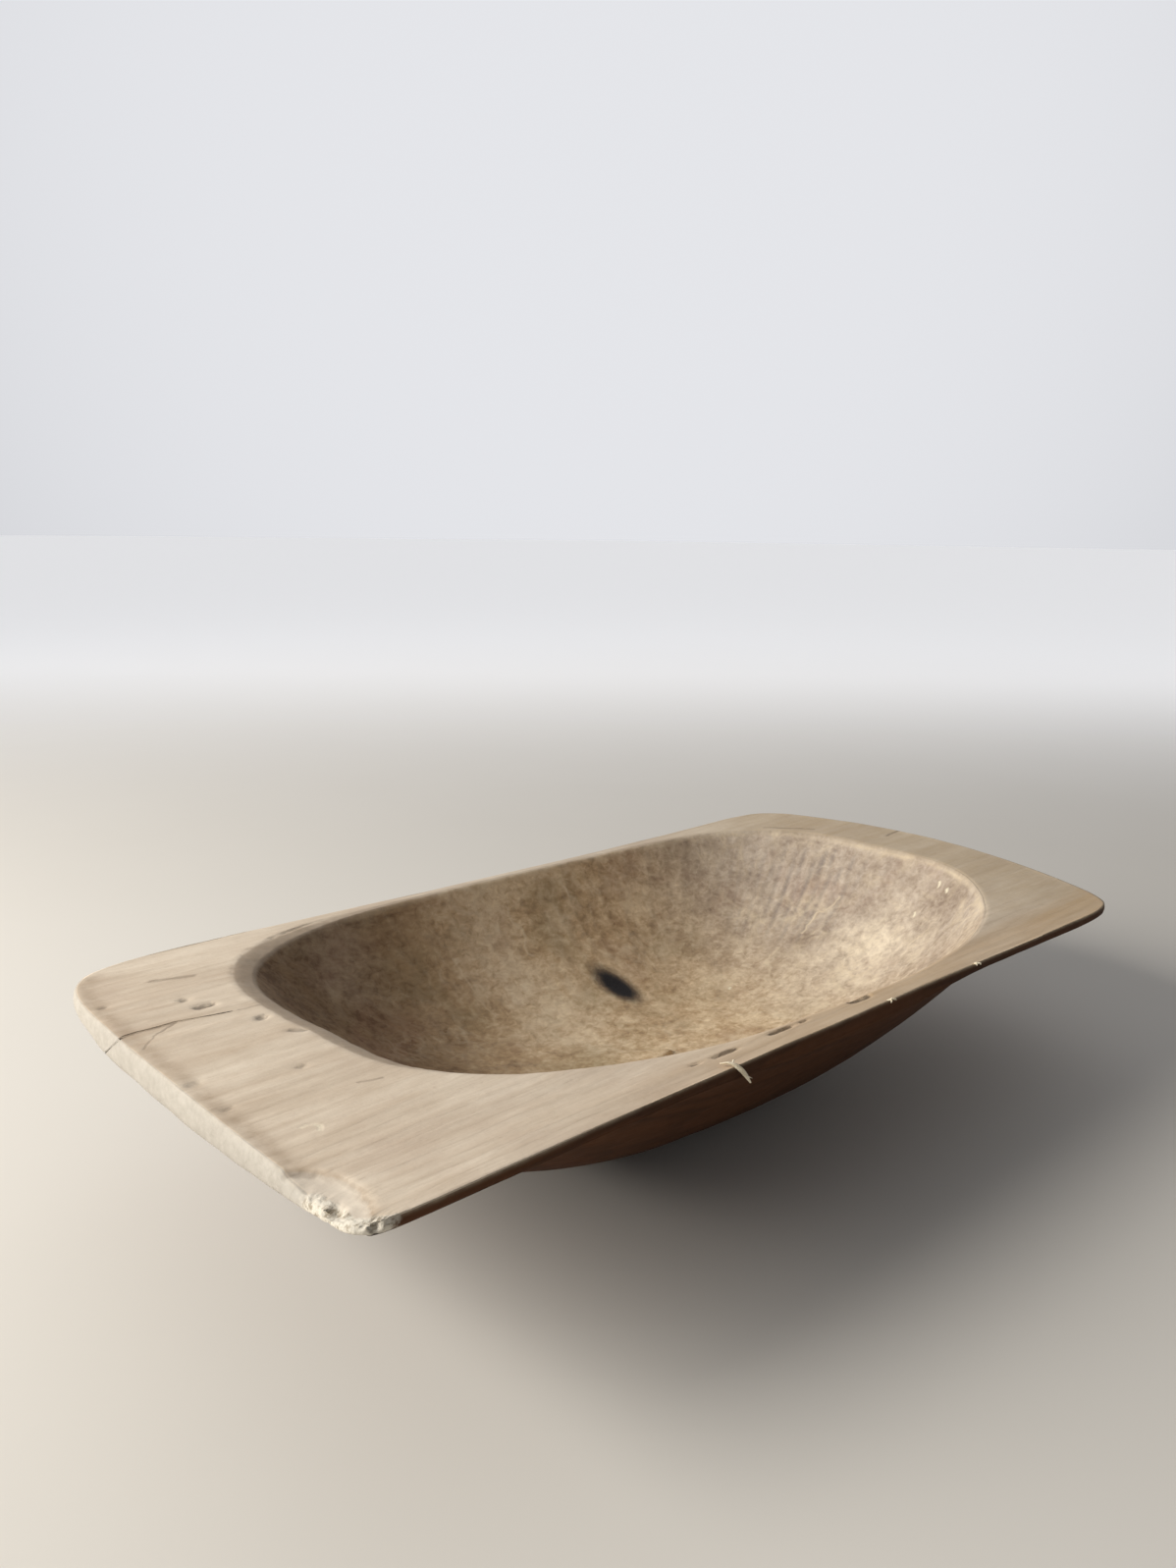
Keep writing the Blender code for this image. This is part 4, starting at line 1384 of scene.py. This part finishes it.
def dark_knot():
    knot = Finish("dark_knot")
    halo = knot_halo(knot)
    pores = knot.cloud((700.0, 700.0, 700.0), 51.0, 3.0)
    wandering = knot.bent((200.0, 200.0, 200.0), 52.0, 0.001)
    checks = knot.cracks(knot.vector("MULTIPLY", wandering, (260.0, 260.0, 260.0)), 1.0, 0.10)
    colour = knot.mix((0.3 + pores * 0.25 + halo * 0.25).held(), paint(18, 18, 21), paint(44, 41, 42))
    colour = knot.mix(halo.rise(*KNOT_FADE), colour, paint(190, 162, 128))
    height = pores * 0.05 - checks * 0.15
    roughness = (0.62 + pores * 0.08).held()
    return knot.close(colour, roughness, height, 0.30)


knot = add_piece("dead_knot", closed_mesh("dead_knot", [knot_grid()[::-1]]), dark_knot())
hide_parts("floor_knot")

# %% [markdown]
# ## Splinter and frayed fibres
#
# Handling has lifted a pale sliver from the arris of the near rim. It lies on the rim, bends over
# the edge and hangs outside, forked at its tip. Further along, two tufts of torn fibre stand out.
# Each strand is a tube of oval section along a path, with the section's size set at each step.

# %% Strands
STRAND_SIDES = 12
STRAND_RINGS = 28
TUFT_WIDTHS = (0.0005, 0.0004, 0.0001)
TUFT_THICKNESS = (0.0004, 0.0003, 0.0001)


def strand(path, widths, thickness, up=(0, 0, 1)):
    """Rings round a path: offset = w cos(a) side + t sin(a) lift, with side square to the path and
    to up, and lift square to both, on the side that makes the skin face outwards."""
    path = np.asarray(path, float)
    step = np.linspace(0, 1, len(path))
    fine = np.linspace(0, 1, STRAND_RINGS)
    smooth = np.stack([np.interp(fine, step, path[:, k]) for k in range(3)], axis=1)
    for _ in range(3):
        smooth[1:-1] = (smooth[:-2] + 2 * smooth[1:-1] + smooth[2:]) / 4
    wide = np.interp(fine, step, widths)[:, None, None]
    thick = np.interp(fine, step, thickness)[:, None, None]
    ahead = np.gradient(smooth, axis=0)
    ahead /= np.linalg.norm(ahead, axis=1, keepdims=True)
    side = np.cross(ahead, np.asarray(up, float))
    side /= np.maximum(np.linalg.norm(side, axis=1, keepdims=True), 1e-9)
    lift = np.cross(ahead, side)
    turn = np.linspace(0, 2 * np.pi, STRAND_SIDES, endpoint=False)[None, :, None]
    return smooth[:, None] + wide * np.cos(turn) * side[:, None] + thick * np.sin(turn) * lift[:, None]


def pale_splinter():
    sliver = Finish("pale_splinter")
    fibre = sliver.cloud((1500.0, 500.0, 500.0), 61.0, 3.0)
    stain = sliver.cloud((200.0, 200.0, 200.0), 62.0, 2.0)
    colour = sliver.mix((0.4 + fibre * 0.3 + stain * 0.2).held(), paint(250, 242, 220), paint(214, 194, 158))
    return sliver.close(colour, (0.7 + fibre * 0.1).held(), fibre * 0.08, 0.25)


splinter_finish = pale_splinter()
SPLINTER_X = -0.1145
near_edge = -HALF_WIDTH
near_top = float(rim(SPLINTER_X, near_edge))
splinter_strands = [
    strand(
        [
            (SPLINTER_X - 0.0045, near_edge + 0.0062, near_top + 0.0006),
            (SPLINTER_X - 0.0022, near_edge + 0.0036, near_top + 0.0013),
            (SPLINTER_X - 0.0003, near_edge + 0.0010, near_top + 0.0008),
            (SPLINTER_X + 0.0022, near_edge - 0.0008, near_top - 0.0018),
            (SPLINTER_X + 0.0050, near_edge - 0.0012, near_top - 0.0052),
            (SPLINTER_X + 0.0084, near_edge - 0.0014, near_top - 0.0098),
        ],
        (0.0007, 0.0013, 0.0012, 0.0012, 0.0010, 0.0004),
        (0.0003, 0.0006, 0.0006, 0.0005, 0.0004, 0.0002),
        (0, 0.8, 0.6),
    ),
    strand(
        [
            (SPLINTER_X + 0.0030, near_edge - 0.0010, near_top - 0.0036),
            (SPLINTER_X + 0.0056, near_edge - 0.0014, near_top - 0.0058),
            (SPLINTER_X + 0.0096, near_edge - 0.0012, near_top - 0.0080),
        ],
        (0.0003, 0.0006, 0.0001),
        (0.0003, 0.0004, 0.0001),
    ),
    strand(
        [
            (SPLINTER_X - 0.0008, near_edge + 0.0020, near_top + 0.0010),
            (SPLINTER_X + 0.0010, near_edge + 0.0030, near_top + 0.0018),
            (SPLINTER_X + 0.0026, near_edge + 0.0034, near_top + 0.0014),
        ],
        (0.0003, 0.0004, 0.0001),
        (0.0003, 0.0003, 0.0001),
    ),
]
splinter_mesh = closed_mesh("rim_sliver", splinter_strands)
splinter = add_piece("rim_sliver", splinter_mesh, splinter_finish)
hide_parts("rim_splinter")

tuft_strands = []
chance = np.random.default_rng(81)
for tuft_x, strands in ((0.0085, 5), (0.0925, 3)):
    base_z = float(rim(tuft_x, near_edge)) - 0.0006
    for lean in chance.uniform(-1, 1, (strands, 3)):
        start = np.array((tuft_x + 0.0030 * lean[0], near_edge + 0.0022, base_z))
        out = np.array((0.0022 * lean[1], -0.0026, 0.0012 + 0.0010 * lean[2]))
        droop = start + 1.25 * out + np.array((0.0008 * lean[2], 0.0004, -0.0012))
        tuft_strands.append(strand([start, start + out, droop], TUFT_WIDTHS, TUFT_THICKNESS))
add_piece("frayed_fibres", closed_mesh("frayed_fibres", tuft_strands), splinter_finish)

# %% [markdown]
# ## The floor's finish
#
# A pale board. It whitens with distance and, beyond the bowl, glows a little: painted light standing
# in for a studio sweep under its own lamps, so that it meets the sky without a hard line. It lies
# below the rim, so no such light gets into the hollow.

# %% Floor
BEYOND_WAY = (0.677, 0.7355, 0.0)  # from the viewer past the bowl
FAR_GLOW = (0.45, 0.45, 0.457, 1.0)
NO_GLOW = (0.0, 0.0, 0.0, 1.0)


def pale_floor():
    """A warm pale board that whitens with distance and glows from 0.35 m beyond the bowl, as painted light.
    """
    board = Finish("pale_floor")
    distance = board.vector("LENGTH", board.place, output="Value")
    tone = board.cloud((7.0, 7.0, 7.0), 91.0, 3.0)
    # painted light: the board whitens with distance and glows beyond the bowl, in place of lamps on a
    # backdrop
    colour = board.mix(distance.rise(0.9, 3.5), paint(226, 221, 212), paint(253, 253, 253))
    colour = board.mix((0.5 + tone * 0.3).held() * 0.06, colour, paint(190, 184, 174))
    beyond = board.vector("DOT_PRODUCT", board.place, BEYOND_WAY, output="Value")
    glow = board.mix(beyond.rise(0.35, 2.4), NO_GLOW, FAR_GLOW)
    return board.close(colour, (0.78 + tone * 0.03).held(), tone * 0.02, 0.2, glow)


floor_mesh.materials.append(pale_floor())
